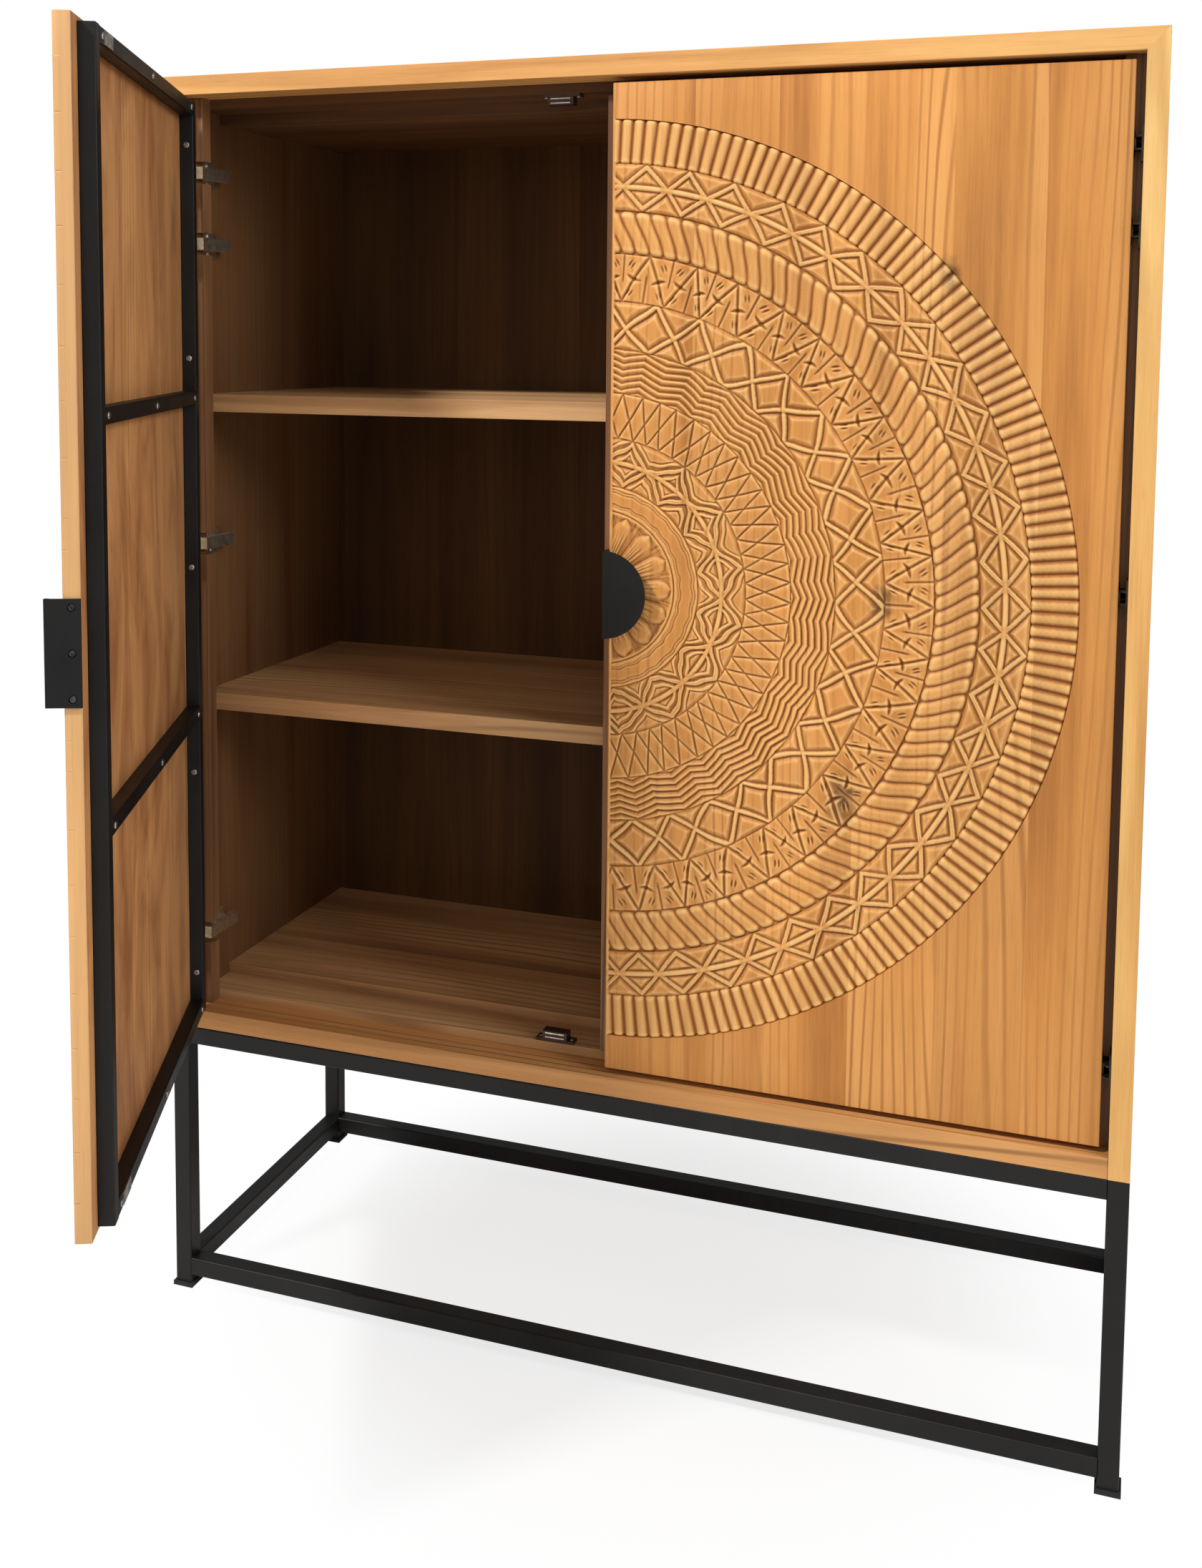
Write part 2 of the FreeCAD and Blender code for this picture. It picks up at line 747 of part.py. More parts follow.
def make_pull(name, sign, place):
    """Make the half disc pull, with a flange on the meeting edge, and its three sunk screws."""
    body = doc.addObject("PartDesign::Body", f"{name}_door_pull")
    meeting_side = f"{name}_meeting_side"
    flange_front = "leaf_front - pull_stand_off"
    across = span(meeting_side, f"{meeting_side} + pull_plate", sign)
    low = "pull_middle - pull_radius"
    padded(
        body, "XY_Plane",
        [rectangle((across[0], flange_front), (across[1], "leaf_back"))],
        low, "2 * pull_radius",
    )
    edge = f"{meeting_side} + pull_plate"
    disc = body.newObject("PartDesign::AdditiveCylinder", "Disc")
    disc.setExpression("Radius", bind("pull_radius"))
    disc.setExpression("Height", bind("pull_plate"))
    disc.Placement = Placement(Vector(), HEADINGS["+Y"])
    set_place(disc, side(edge, sign), flange_front, "pull_middle")
    trim = body.newObject("PartDesign::SubtractiveBox", "Trim")
    past_disc = "pull_radius + cut_overrun"
    beyond = span(edge, f"{edge} + {past_disc}", sign)
    trim_depths = (f"{flange_front} - cut_overrun", f"{flange_front} + pull_plate + cut_overrun")
    trim_heights = (f"pull_middle - ({past_disc})", f"pull_middle + {past_disc}")
    place_box(trim, beyond, trim_depths, trim_heights)

    depth = "(leaf_front + leaf_back) / 2"
    heading = "+X" if sign > 0 else "-X"
    screws = []
    for step in ("- pull_screw_pitch", "", "+ pull_screw_pitch"):
        level = f"pull_middle {step}"
        hole = body.newObject("PartDesign::SubtractiveCylinder", "ScrewHole")
        hole.setExpression("Radius", bind("pull_screw_radius + pull_screw_clearance"))
        hole.setExpression("Height", bind("pull_plate + 2 * cut_overrun"))
        hole.Placement = Placement(Vector(), HEADINGS[heading])
        set_place(hole, side(f"{meeting_side} - cut_overrun", sign), depth, level)
        head = doc.addObject("Part::Cylinder", "SunkScrew")
        head.setExpression("Radius", bind("pull_screw_radius"))
        head.setExpression("Height", bind("pull_plate - pull_screw_sink"))
        head.Placement = Placement(Vector(), HEADINGS[heading])
        set_place(head, side(meeting_side, sign), depth, level)
        screws.append(head)
    node(body, f"{name}_door_pull", place)
    group(f"{name}_door_pull_screws", screws, place)


def make_hinge_cups(name, sign, place):
    """Make the door halves of the hinges: an edge leaf with its tongue, and a cup flange."""
    halves = []
    for middle in HINGE_LEVELS:
        edge = "hinge_side"
        leaf_outer = f"{edge} - leaf_thick"
        leaf = plain_box(
            span(leaf_outer, edge, sign),
            ("0", "leaf_back"),
            around(middle, "leaf_height"),
        )
        tongue_points = [
            (leaf_outer, "0"),
            (leaf_outer, "leaf_back"),
            (f"{leaf_outer} - tongue_length", "leaf_back"),
            (f"{leaf_outer} - tongue_length", "tongue_depth"),
        ]
        points = [(side(x_words, sign), y_words) for x_words, y_words in tongue_points]
        tongue = prism(points, around(middle, "tongue_thick"))
        halves.append(fused([leaf, tongue]))
        across = span(
            f"{edge} + notch_clearance",
            f"{edge} + frame_side_inset - hinge_clearance", sign)
        depths = ("leaf_back", "leaf_back + cup_plate")
        halves.append(plain_box(across, depths, around(middle, "cup_height")))
    group(f"{name}_door_hinge_cups", halves, place)


def make_strikes(name, sign, place):
    """Make the plates on the top and bottom rails that meet the catches."""
    middle = "axis_x - catch_offset"
    across = span(f"{middle} - strike_width / 2", f"{middle} + strike_width / 2", sign)
    depths = ("frame_back", "frame_back + strike_thick")
    low = "door_bottom + frame_end_inset + frame_tube / 2"
    high = "door_top - frame_end_inset - frame_tube / 2"
    plates = [plain_box(across, depths, around(level, "strike_height")) for level in (low, high)]
    group(f"{name}_door_strike_plates", plates, place)


def make_batten(place):
    """Make the batten behind the right door's meeting edge, stepped to clear the left door."""
    body = doc.addObject("PartDesign::Body", "right_door_batten")
    seat_end = minus("right_meeting_side - frame_side_inset")
    edge = minus("right_meeting_side")
    tip = minus("right_meeting_side + batten_overlap")
    back = "leaf_back + batten_thick"
    step = "leaf_back + hinge_clearance"
    corners = [
        (seat_end, "leaf_back"), (seat_end, back), (tip, back),
        (tip, step), (edge, step), (edge, "leaf_back"),
    ]
    low = "door_bottom + batten_inset"
    high = "door_top - batten_inset"
    padded(body, "XY_Plane", [corners], low, f"({high}) - ({low})")
    node(body, "right_door_batten", place)


def make_doors():
    """Make both doors, each in the frame of its own hinge axis."""
    for name, sign in (("left", 1), ("right", -1)):
        place = DOOR_PLACES[name]
        make_leaf(name, sign, place)
        make_frame(name, sign, place)
        make_pull(name, sign, place)
        make_hinge_cups(name, sign, place)
        make_strikes(name, sign, place)
    make_batten(DOOR_PLACES["right"])


def check_and_write():
    """Stop on any failed object, then write one STEP file for each sub-part."""
    doc.recompute()
    for thing in doc.Objects:
        if "Invalid" in thing.State or "Error" in thing.State:
            raise RuntimeError(f"{thing.Label} failed: {thing.State}")
    for thing in nodes:
        shape = thing.Shape
        if shape.isNull() or not shape.isValid() or not shape.Solids:
            raise RuntimeError(f"{thing.Label} has no valid shape")
    os.makedirs("parts", exist_ok=True)
    for thing in nodes:
        thing.Shape.exportStep(f"parts/{thing.Label}.step")
        print(thing.Label, len(thing.Shape.Solids), round(thing.Shape.Volume))
    print(len(nodes), "sub-parts written")


def main():
    """Build the cabinet."""
    fill_sheet()
    make_stand()
    make_shell()
    make_interior()
    make_catches()
    make_hinge_mounts()
    make_doors()
    check_and_write()


main()
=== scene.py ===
"""Dressed scene of a carved teak cabinet on an open stand of black square tube.

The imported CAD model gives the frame: the stand, the boards, the tube frames, hinges and catches keep
their solids and get their finishes here. The two door leaves are built anew, with the round carving
cut into them ring by ring, and every screw gets a domed head with its recess.
"""

import json
import logging
import math
from dataclasses import dataclass
from enum import Enum
from typing import Union

import bpy
import numpy as np
from bpy.types import Material, Node, NodeSocket, NodeTree, Object
from mathutils import Euler, Matrix, Vector


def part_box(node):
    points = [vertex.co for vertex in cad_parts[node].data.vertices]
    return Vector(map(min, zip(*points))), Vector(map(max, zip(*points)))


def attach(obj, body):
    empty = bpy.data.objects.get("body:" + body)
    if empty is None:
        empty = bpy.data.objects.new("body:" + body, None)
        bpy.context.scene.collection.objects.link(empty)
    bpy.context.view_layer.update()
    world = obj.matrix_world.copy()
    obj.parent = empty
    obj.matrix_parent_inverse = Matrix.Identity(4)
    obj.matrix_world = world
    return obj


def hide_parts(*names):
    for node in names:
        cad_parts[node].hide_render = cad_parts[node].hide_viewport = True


LOG = logging.getLogger("cabinet")
MM = 0.001
WHITE = (1.0, 1.0, 1.0, 1.0)

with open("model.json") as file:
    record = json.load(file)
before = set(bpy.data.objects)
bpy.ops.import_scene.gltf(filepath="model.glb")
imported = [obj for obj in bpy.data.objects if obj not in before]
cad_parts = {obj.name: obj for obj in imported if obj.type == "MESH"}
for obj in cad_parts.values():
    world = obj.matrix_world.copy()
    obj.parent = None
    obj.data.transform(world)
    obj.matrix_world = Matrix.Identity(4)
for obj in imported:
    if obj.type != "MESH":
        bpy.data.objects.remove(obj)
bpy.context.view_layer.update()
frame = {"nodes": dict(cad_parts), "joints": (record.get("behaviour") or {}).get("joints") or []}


# Colours and nodes. A socket's source is another socket, or a node by its first output
Source = Union[Node, NodeSocket]


def linear(code: str) -> tuple[float, float, float, float]:
    """Turn an sRGB hex colour into the linear values that shaders take.

    Args:
        code: the colour, such as "#C98C45".

    Returns:
        Red, green, blue and an alpha of 1.
    """
    parts = [int(code[i:i + 2], 16) / 255 for i in (1, 3, 5)]
    red, green, blue = (p / 12.92 if p <= 0.04045 else ((p + 0.055) / 1.055) ** 2.4 for p in parts)
    return red, green, blue, 1.0


def feed(tree: NodeTree, node: Node, inputs: dict) -> None:
    """Link or set some of a node's sockets.

    Args:
        tree: the node tree.
        node: the node.
        inputs: socket name or number, to its value or its source.
    """
    for name, value in inputs.items():
        source = value.outputs[0] if isinstance(value, Node) else value
        if isinstance(source, NodeSocket):
            tree.links.new(source, node.inputs[name])
        else:
            node.inputs[name].default_value = source


def add(tree: NodeTree, kind: str, inputs: dict | None = None, stops: tuple[tuple[float, str], ...] = (),
        **settings) -> Node:
    """Add one node, with its settings and its links or values.

    Args:
        tree: the material's or the world's node tree.
        kind: the node's type name after ShaderNode.
        inputs: socket name or number, to its value or its source.
        stops: places along a colour ramp and their hex colours, from low to high.
        settings: the node's own properties.

    Returns:
        The new node.
    """
    made = tree.nodes.new("ShaderNode" + kind)
    for name, value in settings.items():
        setattr(made, name, value)
    feed(tree, made, inputs or {})
    for number, (place, code) in enumerate(stops):
        elements = made.color_ramp.elements
        element = elements[number] if number < len(elements) else elements.new(1.0)
        element.position, element.color = place, linear(code)
    return made


def blank(name: str) -> tuple[Material, NodeTree, Node]:
    """Return a new material, its node tree and its shader."""
    material = bpy.data.materials.new(name)
    material.use_nodes = True
    return material, material.node_tree, material.node_tree.nodes["Principled BSDF"]


class Grain(Enum):
    """The way that the wood's fibres run, as the three axes across, through and along them."""

    UPRIGHT = ("X", "Y", "Z")
    SIDE_UPRIGHT = ("Y", "X", "Z")
    ACROSS = ("Y", "Z", "X")


@dataclass(frozen=True)
class Knot:
    """A knot in a door plank: its place in the cabinet's frame and its size, in metres."""

    x: float
    z: float
    size: float


@dataclass(frozen=True)
class Teak:
    """Teak boards, planed, stained and oiled to a satin.

    Brown open-pored wood: darker growth lines run along the boards, the pores are short fine
    streaks, and each plank differs a little in tone from the one beside it.
    """

    name: str
    pale: str
    middle: str
    dark: str
    grain: Grain = Grain.UPRIGHT
    plank: float = 0.11
    roughness: float = 0.55
    figured: float = 0.8
    carved: bool = False
    turn: tuple[float, float, float] | None = None
    knots: tuple[Knot, ...] = ()
    seed: float = 0.0
    shaded_within: float | None = None
    dulled_past: float | None = None
    highlight_past: float | None = None

    def make(self) -> Material:
        """Return the material."""
        material, tree, shader = blank(self.name)
        along = self.placed(tree)
        split = add(tree, "SeparateXYZ", {0: along})
        number, board = self.planks(tree, split)
        # Soft bands 20 to 60 mm wide, streaks of 2 to 8 mm inside them, and pores, which are 0.4 mm
        # wide in the real wood and drawn at about 1 mm so that they show
        broad, streaks, pores = (
            add(tree, "TexNoise", {
                "Vector": add(tree, "Mapping", {0: board, 3: (1.0, 1.0, squeeze)}),
                "Scale": scale, "Detail": detail, "Roughness": rough, "Distortion": warp})
            for squeeze, scale, detail, rough, warp in (
                (0.07, 13.0, 3.0, 0.5, 0.4), (0.022, 120.0, 4.0, 0.65, 0.0), (0.03, 700.0, 2.0, 0.6, 0.0)))
        fine = add(tree, "Math", {0: streaks, 1: 0.2}, operation="MULTIPLY")
        lines = add(tree, "Math", {0: broad, 1: 0.8, 2: fine}, operation="MULTIPLY_ADD")
        base = self.toned(tree, along, number, pores, self.grown(tree, board, broad, lines))
        for knot in self.knots:
            base = self.knotted(tree, along, base, knot)
        if self.carved:
            base = self.relief_light_and_wear(tree, base)
        base = self.tinted(tree, along, split, base)
        gloss = add(tree, "MapRange", {0: lines, 1: 0.2, 2: 0.8, 3: self.roughness + 0.12,
                                       4: self.roughness})
        relief = add(tree, "Math", {0: pores, 1: 0.5, 2: lines}, operation="MULTIPLY_ADD")
        bump = add(tree, "Bump", {"Height": relief, "Strength": 0.35, "Distance": 0.4 * MM})
        feed(tree, shader, {"Base Color": base, "Roughness": gloss, "Normal": bump, "IOR": 1.45,
                            "Specular IOR Level": 0.35})
        return material

    def planks(self, tree: NodeTree, split: Node) -> tuple[Source, Source]:
        """Part the wood into planks, each with its own part of the figure.

        Args:
            tree: the material's node tree.
            split: the node that gives the wood's coordinates one by one.

        Returns:
            The plank's number, and the coordinates in it: across, through and along the fibres.
        """
        across, through, fibres = (split.outputs[axis] for axis in self.grain.value)
        place = add(tree, "Math", {0: across, 1: self.plank}, operation="DIVIDE")
        number = add(tree, "Math", {0: place}, operation="FLOOR")
        shift = add(tree, "Math", {0: number, 1: 3.7, 2: self.seed}, operation="MULTIPLY_ADD")
        deep = add(tree, "Math", {0: through, 1: shift})
        board = add(tree, "CombineXYZ", {0: across, 1: deep, 2: fibres})
        return number, board

    def grown(self, tree: NodeTree, board: Source, broad: Source, lines: Source) -> Source:
        """Colour the bands, and draw growth lines where they are pale.

        Args:
            tree: the material's node tree.
            board: the coordinates in the plank.
            broad: the soft bands.
            lines: the bands with their streaks.

        Returns:
            The colour.
        """
        colour = add(tree, "ValToRGB", {0: lines}, ((0.30, self.dark), (0.46, self.middle),
                                                    (0.64, self.pale)))
        # Growth lines about 7 mm apart, pointed arcs where a board was cut off centre
        long = add(tree, "Mapping", {0: board, 3: (1.0, 1.0, 0.10)})
        figure = add(tree, "TexWave", {"Vector": long, "Scale": 22.0, "Distortion": 26.0, "Detail": 2.0,
                                       "Detail Scale": 0.32, "Detail Roughness": 0.45},
                     bands_direction="X")
        ringed = add(tree, "MapRange", {0: figure.outputs["Fac"], 1: 0.0, 2: 0.28, 3: 1.0, 4: 0.0})
        strong = add(tree, "MapRange", {0: broad, 1: 0.40, 2: 0.66, 3: 0.04, 4: self.figured})
        share = add(tree, "Math", {0: ringed, 1: strong}, operation="MULTIPLY")
        return self.mixed(tree, share, colour, self.dark)

    def toned(self, tree: NodeTree, along: Source, number: Source, pores: Source,
              colour: Source) -> Source:
        """Give each plank its own tone, and lay the pores and the oil's slow change over them.

        Args:
            tree: the material's node tree.
            along: the wood's coordinates.
            number: the plank's number.
            pores: the pores.
            colour: the colour so far.

        Returns:
            The new colour.
        """
        tone = add(tree, "TexWhiteNoise", {"W": number}, noise_dimensions="1D")
        plank = add(tree, "Math", {0: tone.outputs["Value"], 1: 0.13, 2: 0.935},
                    operation="MULTIPLY_ADD")
        # The oil's tone changes over about 300 mm
        slow = add(tree, "TexNoise", {"Vector": along, "Scale": 3.5, "Detail": 3.0})
        oiled = add(tree, "MapRange", {0: slow, 1: 0.3, 2: 0.7, 3: 0.92, 4: 1.05})
        pored = add(tree, "MapRange", {0: pores, 1: 0.30, 2: 0.50, 3: 0.89, 4: 1.0})
        value = plank
        for other in (oiled, pored):
            value = add(tree, "Math", {0: value, 1: other}, operation="MULTIPLY")
        return add(tree, "HueSaturation", {"Value": value, "Color": colour})

    def tinted(self, tree: NodeTree, along: Source, split: Node, base: Source) -> Source:
        """Tint some faces: painted shade on the inner faces of the sides, the maker's stain and a duller
        tone on the back, and a painted highlight on the open door's meeting edge.

        Args:
            tree: the material's node tree.
            along: the wood's coordinates.
            split: the node that gives them one by one.
            base: the colour so far.

        Returns:
            The new colour.
        """
        if self.shaded_within is not None:
            # The inner faces of the sides are darkened as painted shade
            off = add(tree, "Math", {0: split.outputs["X"]}, operation="ABSOLUTE")
            inner = add(tree, "Math", {0: off, 1: self.shaded_within}, operation="LESS_THAN")
            base = self.mixed(tree, inner, base, "#7E7278", "MULTIPLY")
        if self.dulled_past is not None:
            rear = add(tree, "Math", {0: split.outputs["Y"], 1: self.dulled_past},
                       operation="GREATER_THAN")
            base = self.mixed(tree, rear, base, "#D8AA80", "MIX", 0.34)
            # The maker's stain lies in brown clouds on the back, about 90 mm wide and 300 mm high
            tall = add(tree, "Mapping", {0: along, 3: (1.0, 1.0, 0.3)})
            clouds = add(tree, "TexNoise", {"Vector": tall, "Scale": 11.0, "Detail": 6.0,
                                            "Roughness": 0.62, "Distortion": 0.9})
            cloudy = add(tree, "MapRange", {0: clouds, 1: 0.42, 2: 0.66, 3: 0.0, 4: 1.0})
            patchy = add(tree, "Math", {0: cloudy, 1: rear}, operation="MULTIPLY")
            base = self.mixed(tree, patchy, base, "#94684A", "MULTIPLY", 0.62)
        if self.highlight_past is not None:
            # The open door's meeting edge face is made paler as a painted highlight
            edge = add(tree, "Math", {0: split.outputs["X"], 1: self.highlight_past},
                       operation="GREATER_THAN")
            base = self.mixed(tree, edge, base, "#FFD9A0", "MIX", 0.35)
        return base

    def placed(self, tree: NodeTree) -> Source:
        """Return the wood's coordinates: the object's own, turned back where the leaf stands open."""
        point = add(tree, "TexCoord").outputs["Object"]
        if self.turn is None:
            return point
        x, y, angle = self.turn
        back = add(tree, "Mapping", {0: point, 1: (x, y, 0.0), 2: (0.0, 0.0, angle)},
                   vector_type="TEXTURE")
        return back

    def knotted(self, tree: NodeTree, along: Source, base: Source, knot: Knot) -> Source:
        """Darken the wood round one knot.

        Args:
            tree: the material's node tree.
            along: the wood's coordinates.
            base: the colour so far.
            knot: the knot's place and size.

        Returns:
            The new colour.
        """
        # The knot's outline wavers every 17 mm or so, by up to 16 mm across and 30 mm along the fibres
        rough = add(tree, "TexNoise", {"Vector": along, "Scale": 60.0, "Detail": 3.0})
        bent = add(tree, "VectorMath", {0: rough.outputs["Color"], 1: (0.016, 0.0, 0.03), 2: along},
                   operation="MULTIPLY_ADD")
        near = add(tree, "Mapping", {0: bent, 1: (-knot.x - 0.008, 0.0, -knot.z - 0.015)})
        flat = add(tree, "VectorMath", {0: near, 1: (1.0, 0.0, 0.6)}, operation="MULTIPLY")
        far = add(tree, "VectorMath", {0: flat}, operation="LENGTH")
        share = add(tree, "MapRange", {0: far.outputs["Value"], 1: knot.size * 0.2, 2: knot.size,
                                       3: 0.85, 4: 0.0}, interpolation_type="SMOOTHSTEP")
        return self.mixed(tree, share, base, "#4A2A12")

    def mixed(self, tree: NodeTree, where: Source, base: Source, tint: str, blend: str = "MIX",
              share: float = 1.0) -> Source:
        """Lay a tint over part of the wood.

        Args:
            tree: the material's node tree.
            where: 1 where the tint lies and 0 elsewhere.
            base: the colour so far.
            tint: the colour that tints it.
            blend: how the tint is laid over the wood's colour.
            share: how strongly.

        Returns:
            The new colour.
        """
        amount = add(tree, "Math", {0: where, 1: share}, operation="MULTIPLY")
        return add(tree, "Mix", {"Factor": amount, 6: base, 7: linear(tint)}, data_type="RGBA",
                   blend_type=blend).outputs[2]

    def relief_light_and_wear(self, tree: NodeTree, base: Source) -> Source:
        """Paint shade and gathered stain into the cuts of the carving, and a painted highlight with rubbed
        wear on its crests.

        Args:
            tree: the material's node tree.
            base: the colour so far.

        Returns:
            The new colour.
        """
        # The cuts darken as painted shade and stain, and the crests lighten as a painted highlight and
        # wear
        for name, tint in (("cut_shade_and_stain", "#865022"), ("crest_highlight_and_wear", "#F0C27C")):
            where = add(tree, "Attribute", attribute_name=name)
            base = self.mixed(tree, where.outputs["Fac"], base, tint)
        return base


@dataclass(frozen=True)
class Coat:
    """An even finish: its tone drifts in patches, and a fine relief breaks up its highlights.

    Patches and dimples are counted per metre, and gloss is what the roughness gains in the dull
    patches and in the bright ones.
    """

    name: str
    dull: str
    bright: str
    roughness: float
    patches: float
    patch_detail: float = 3.0
    patch_roughness: float = 0.5
    stops: tuple[float, float] = (0.35, 0.75)
    gloss: tuple[float, float] = (0.0, 0.12)
    dimples: float = 1500.0
    stretch: float = 1.0
    strength: float = 0.2
    height: float = 0.2 * MM
    metallic: float = 0.0
    specular: float = 0.5

    def make(self) -> Material:
        """Return the material."""
        material, tree, shader = blank(self.name)
        place = add(tree, "TexCoord").outputs["Object"]
        patches = add(tree, "TexNoise", {"Vector": place, "Scale": self.patches,
                                         "Detail": self.patch_detail, "Roughness": self.patch_roughness})
        colour = add(tree, "ValToRGB", {0: patches}, tuple(zip(self.stops, (self.dull, self.bright))))
        low, high = (self.roughness + gain for gain in self.gloss)
        gloss = add(tree, "MapRange", {0: patches, 1: 0.3, 2: 0.7, 3: low, 4: high})
        drawn = add(tree, "Mapping", {0: place, 3: (1.0, 1.0, self.stretch)})
        fine = add(tree, "TexNoise", {"Vector": drawn, "Scale": self.dimples, "Detail": 1.0})
        bump = add(tree, "Bump", {"Height": fine, "Strength": self.strength, "Distance": self.height})
        feed(tree, shader, {"Base Color": colour, "Roughness": gloss, "Normal": bump,
                            "Metallic": self.metallic, "Specular IOR Level": self.specular})
        return material


@dataclass(frozen=True)
class CoatedIron(Coat):
    """Mild steel tube and plate under a satin black powder coat.

    The coat is a dull charcoal black with a fine orange-peel surface of dimples about 1.5 mm
    across, so its highlights are broad and soft, and they break up a little along each tube.
    """

    dull: str = "#121110"
    bright: str = "#1E1D1C"
    roughness: float = 0.46
    patches: float = 9.0
    patch_detail: float = 4.0
    patch_roughness: float = 0.6
    gloss: tuple[float, float] = (-0.05, 0.08)
    dimples: float = 650.0
    strength: float = 0.25
    height: float = 0.3 * MM
    specular: float = 0.28


@dataclass(frozen=True)
class PlatedMetal(Coat):
    """Pressed steel with a bright plating, as on hinges and screws.

    The plating shows drawn lines from the press, 0.8 mm apart, and dull spots where it has been
    handled.
    """

    patches: float = 120.0
    stops: tuple[float, float] = (0.36, 0.6)
    gloss: tuple[float, float] = (0.16, 0.0)
    dimples: float = 1200.0
    stretch: float = 0.06
    strength: float = 0.12
    metallic: float = 1.0


@dataclass(frozen=True)
class MouldedPlastic(Coat):
    """Moulded brown ABS of the magnetic catches, or the black rubber of the foot pads.

    The mould leaves a fine spark-eroded texture, and the tone drifts a little in patches.
    """

    patches: float = 60.0


# Pieces
def deselect() -> None:
    """Leave nothing selected, so that an operator acts only on what comes next."""
    if bpy.context.object and bpy.context.object.mode != "OBJECT":
        bpy.ops.object.mode_set(mode="OBJECT")
    bpy.ops.object.select_all(action="DESELECT")


def choose(piece: Object) -> None:
    """Select one piece alone and make it the active one."""
    deselect()
    piece.select_set(True)
    bpy.context.view_layer.objects.active = piece


def hollow_out(piece: Object, tool: Object) -> None:
    """Cut a tool's shape out of a piece, and throw the tool away."""
    bpy.context.view_layer.objects.active = piece
    cut = piece.modifiers.new("cut", "BOOLEAN")
    cut.operation, cut.object, cut.solver = "DIFFERENCE", tool, "EXACT"
    bpy.ops.object.modifier_apply(modifier=cut.name)
    bpy.data.objects.remove(tool)


def coordinates(piece: Object) -> np.ndarray:
    """Return the piece's points as rows of three."""
    points = np.empty(len(piece.data.vertices) * 3)
    piece.data.vertices.foreach_get("co", points)
    return points.reshape(-1, 3)


def set_coordinates(piece: Object, points: np.ndarray) -> None:
    """Move the piece's points to the rows given."""
    piece.data.vertices.foreach_set("co", points.astype(np.float32).ravel())
    piece.data.update()


def outward(piece: Object) -> None:
    """Point all the faces of a closed piece outwards."""
    choose(piece)
    bpy.ops.object.mode_set(mode="EDIT")
    bpy.ops.mesh.select_all(action="SELECT")
    bpy.ops.mesh.normals_make_consistent(inside=False)
    bpy.ops.object.mode_set(mode="OBJECT")


def settle(piece: Object, name: str, material: Material, body: str, slot: str,
           replaced: tuple[str, ...] = (), place: Matrix | None = None) -> Object:
    """Name a finished piece, bake its place into its mesh, dress it, and fix it to its body.

    Args:
        piece: the finished mesh object.
        name: the piece's name.
        material: its finish.
        body: the CAD body that it moves with.
        slot: the record's material slot; not used.
        replaced: CAD nodes that it stands for.
        place: where the mesh goes in the cabinet's frame, where it was drawn elsewhere.

    Returns:
        The piece.
    """
    piece.name = name
    piece.data.name = name
    piece.data.transform((place or Matrix.Identity(4)) @ piece.matrix_basis)
    piece.matrix_basis = Matrix.Identity(4)
    piece.data.materials.clear()
    piece.data.materials.append(material)
    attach(piece, body)
    if replaced:
        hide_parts(*replaced)
    LOG.info("made %s: %d faces, rides on %s", name, len(piece.data.polygons), body)
    return piece


# Carving, in millimetres
DEEPEST = -6.4


def part_of(cell: np.ndarray) -> np.ndarray:
    """Return how far each value is past its whole number."""
    return cell - np.floor(cell)


def peaks(cell: np.ndarray) -> np.ndarray:
    """Return a straight zigzag: 1 at whole numbers and 0 midway between them."""
    return np.abs(2.0 * part_of(cell) - 1.0)


def vee(distance: np.ndarray, half: float) -> np.ndarray:
    """Return a V cut's depth share: 1 on its line and 0 from half its width out."""
    return np.clip(1.0 - distance / half, 0.0, 1.0)


def bead(distance: np.ndarray, half: float) -> np.ndarray:
    """Return a round rib's height share: 1 on its line and 0 from half its width out."""
    return np.sqrt(np.clip(1.0 - (distance / half) ** 2, 0.0, 1.0))


def eased(share: np.ndarray) -> np.ndarray:
    """Return a soft step from 0 to 1."""
    share = np.clip(share, 0.0, 1.0)
    return share * share * (3.0 - 2.0 * share)


def chip(along: np.ndarray, over: np.ndarray, length: float, width: float, bend: float) -> np.ndarray:
    """Return the depth share of one chip cut, pointed at both ends and bent to a bow.

    Args:
        along: distance along the chip from its middle, in millimetres.
        over: distance across it.
        length: the chip's length.
        width: its greatest width.
        bend: how far its ends leave the straight line.

    Returns:
        1 on the deepest line and 0 outside the chip.
    """
    run = np.clip(1.0 - (2.0 * along / length) ** 2, 0.0, 1.0)
    side = np.abs(over - bend * (2.0 * along / length) ** 2)
    return run * np.clip(1.0 - side / (0.5 * width * run + 1e-6), 0.0, 1.0)


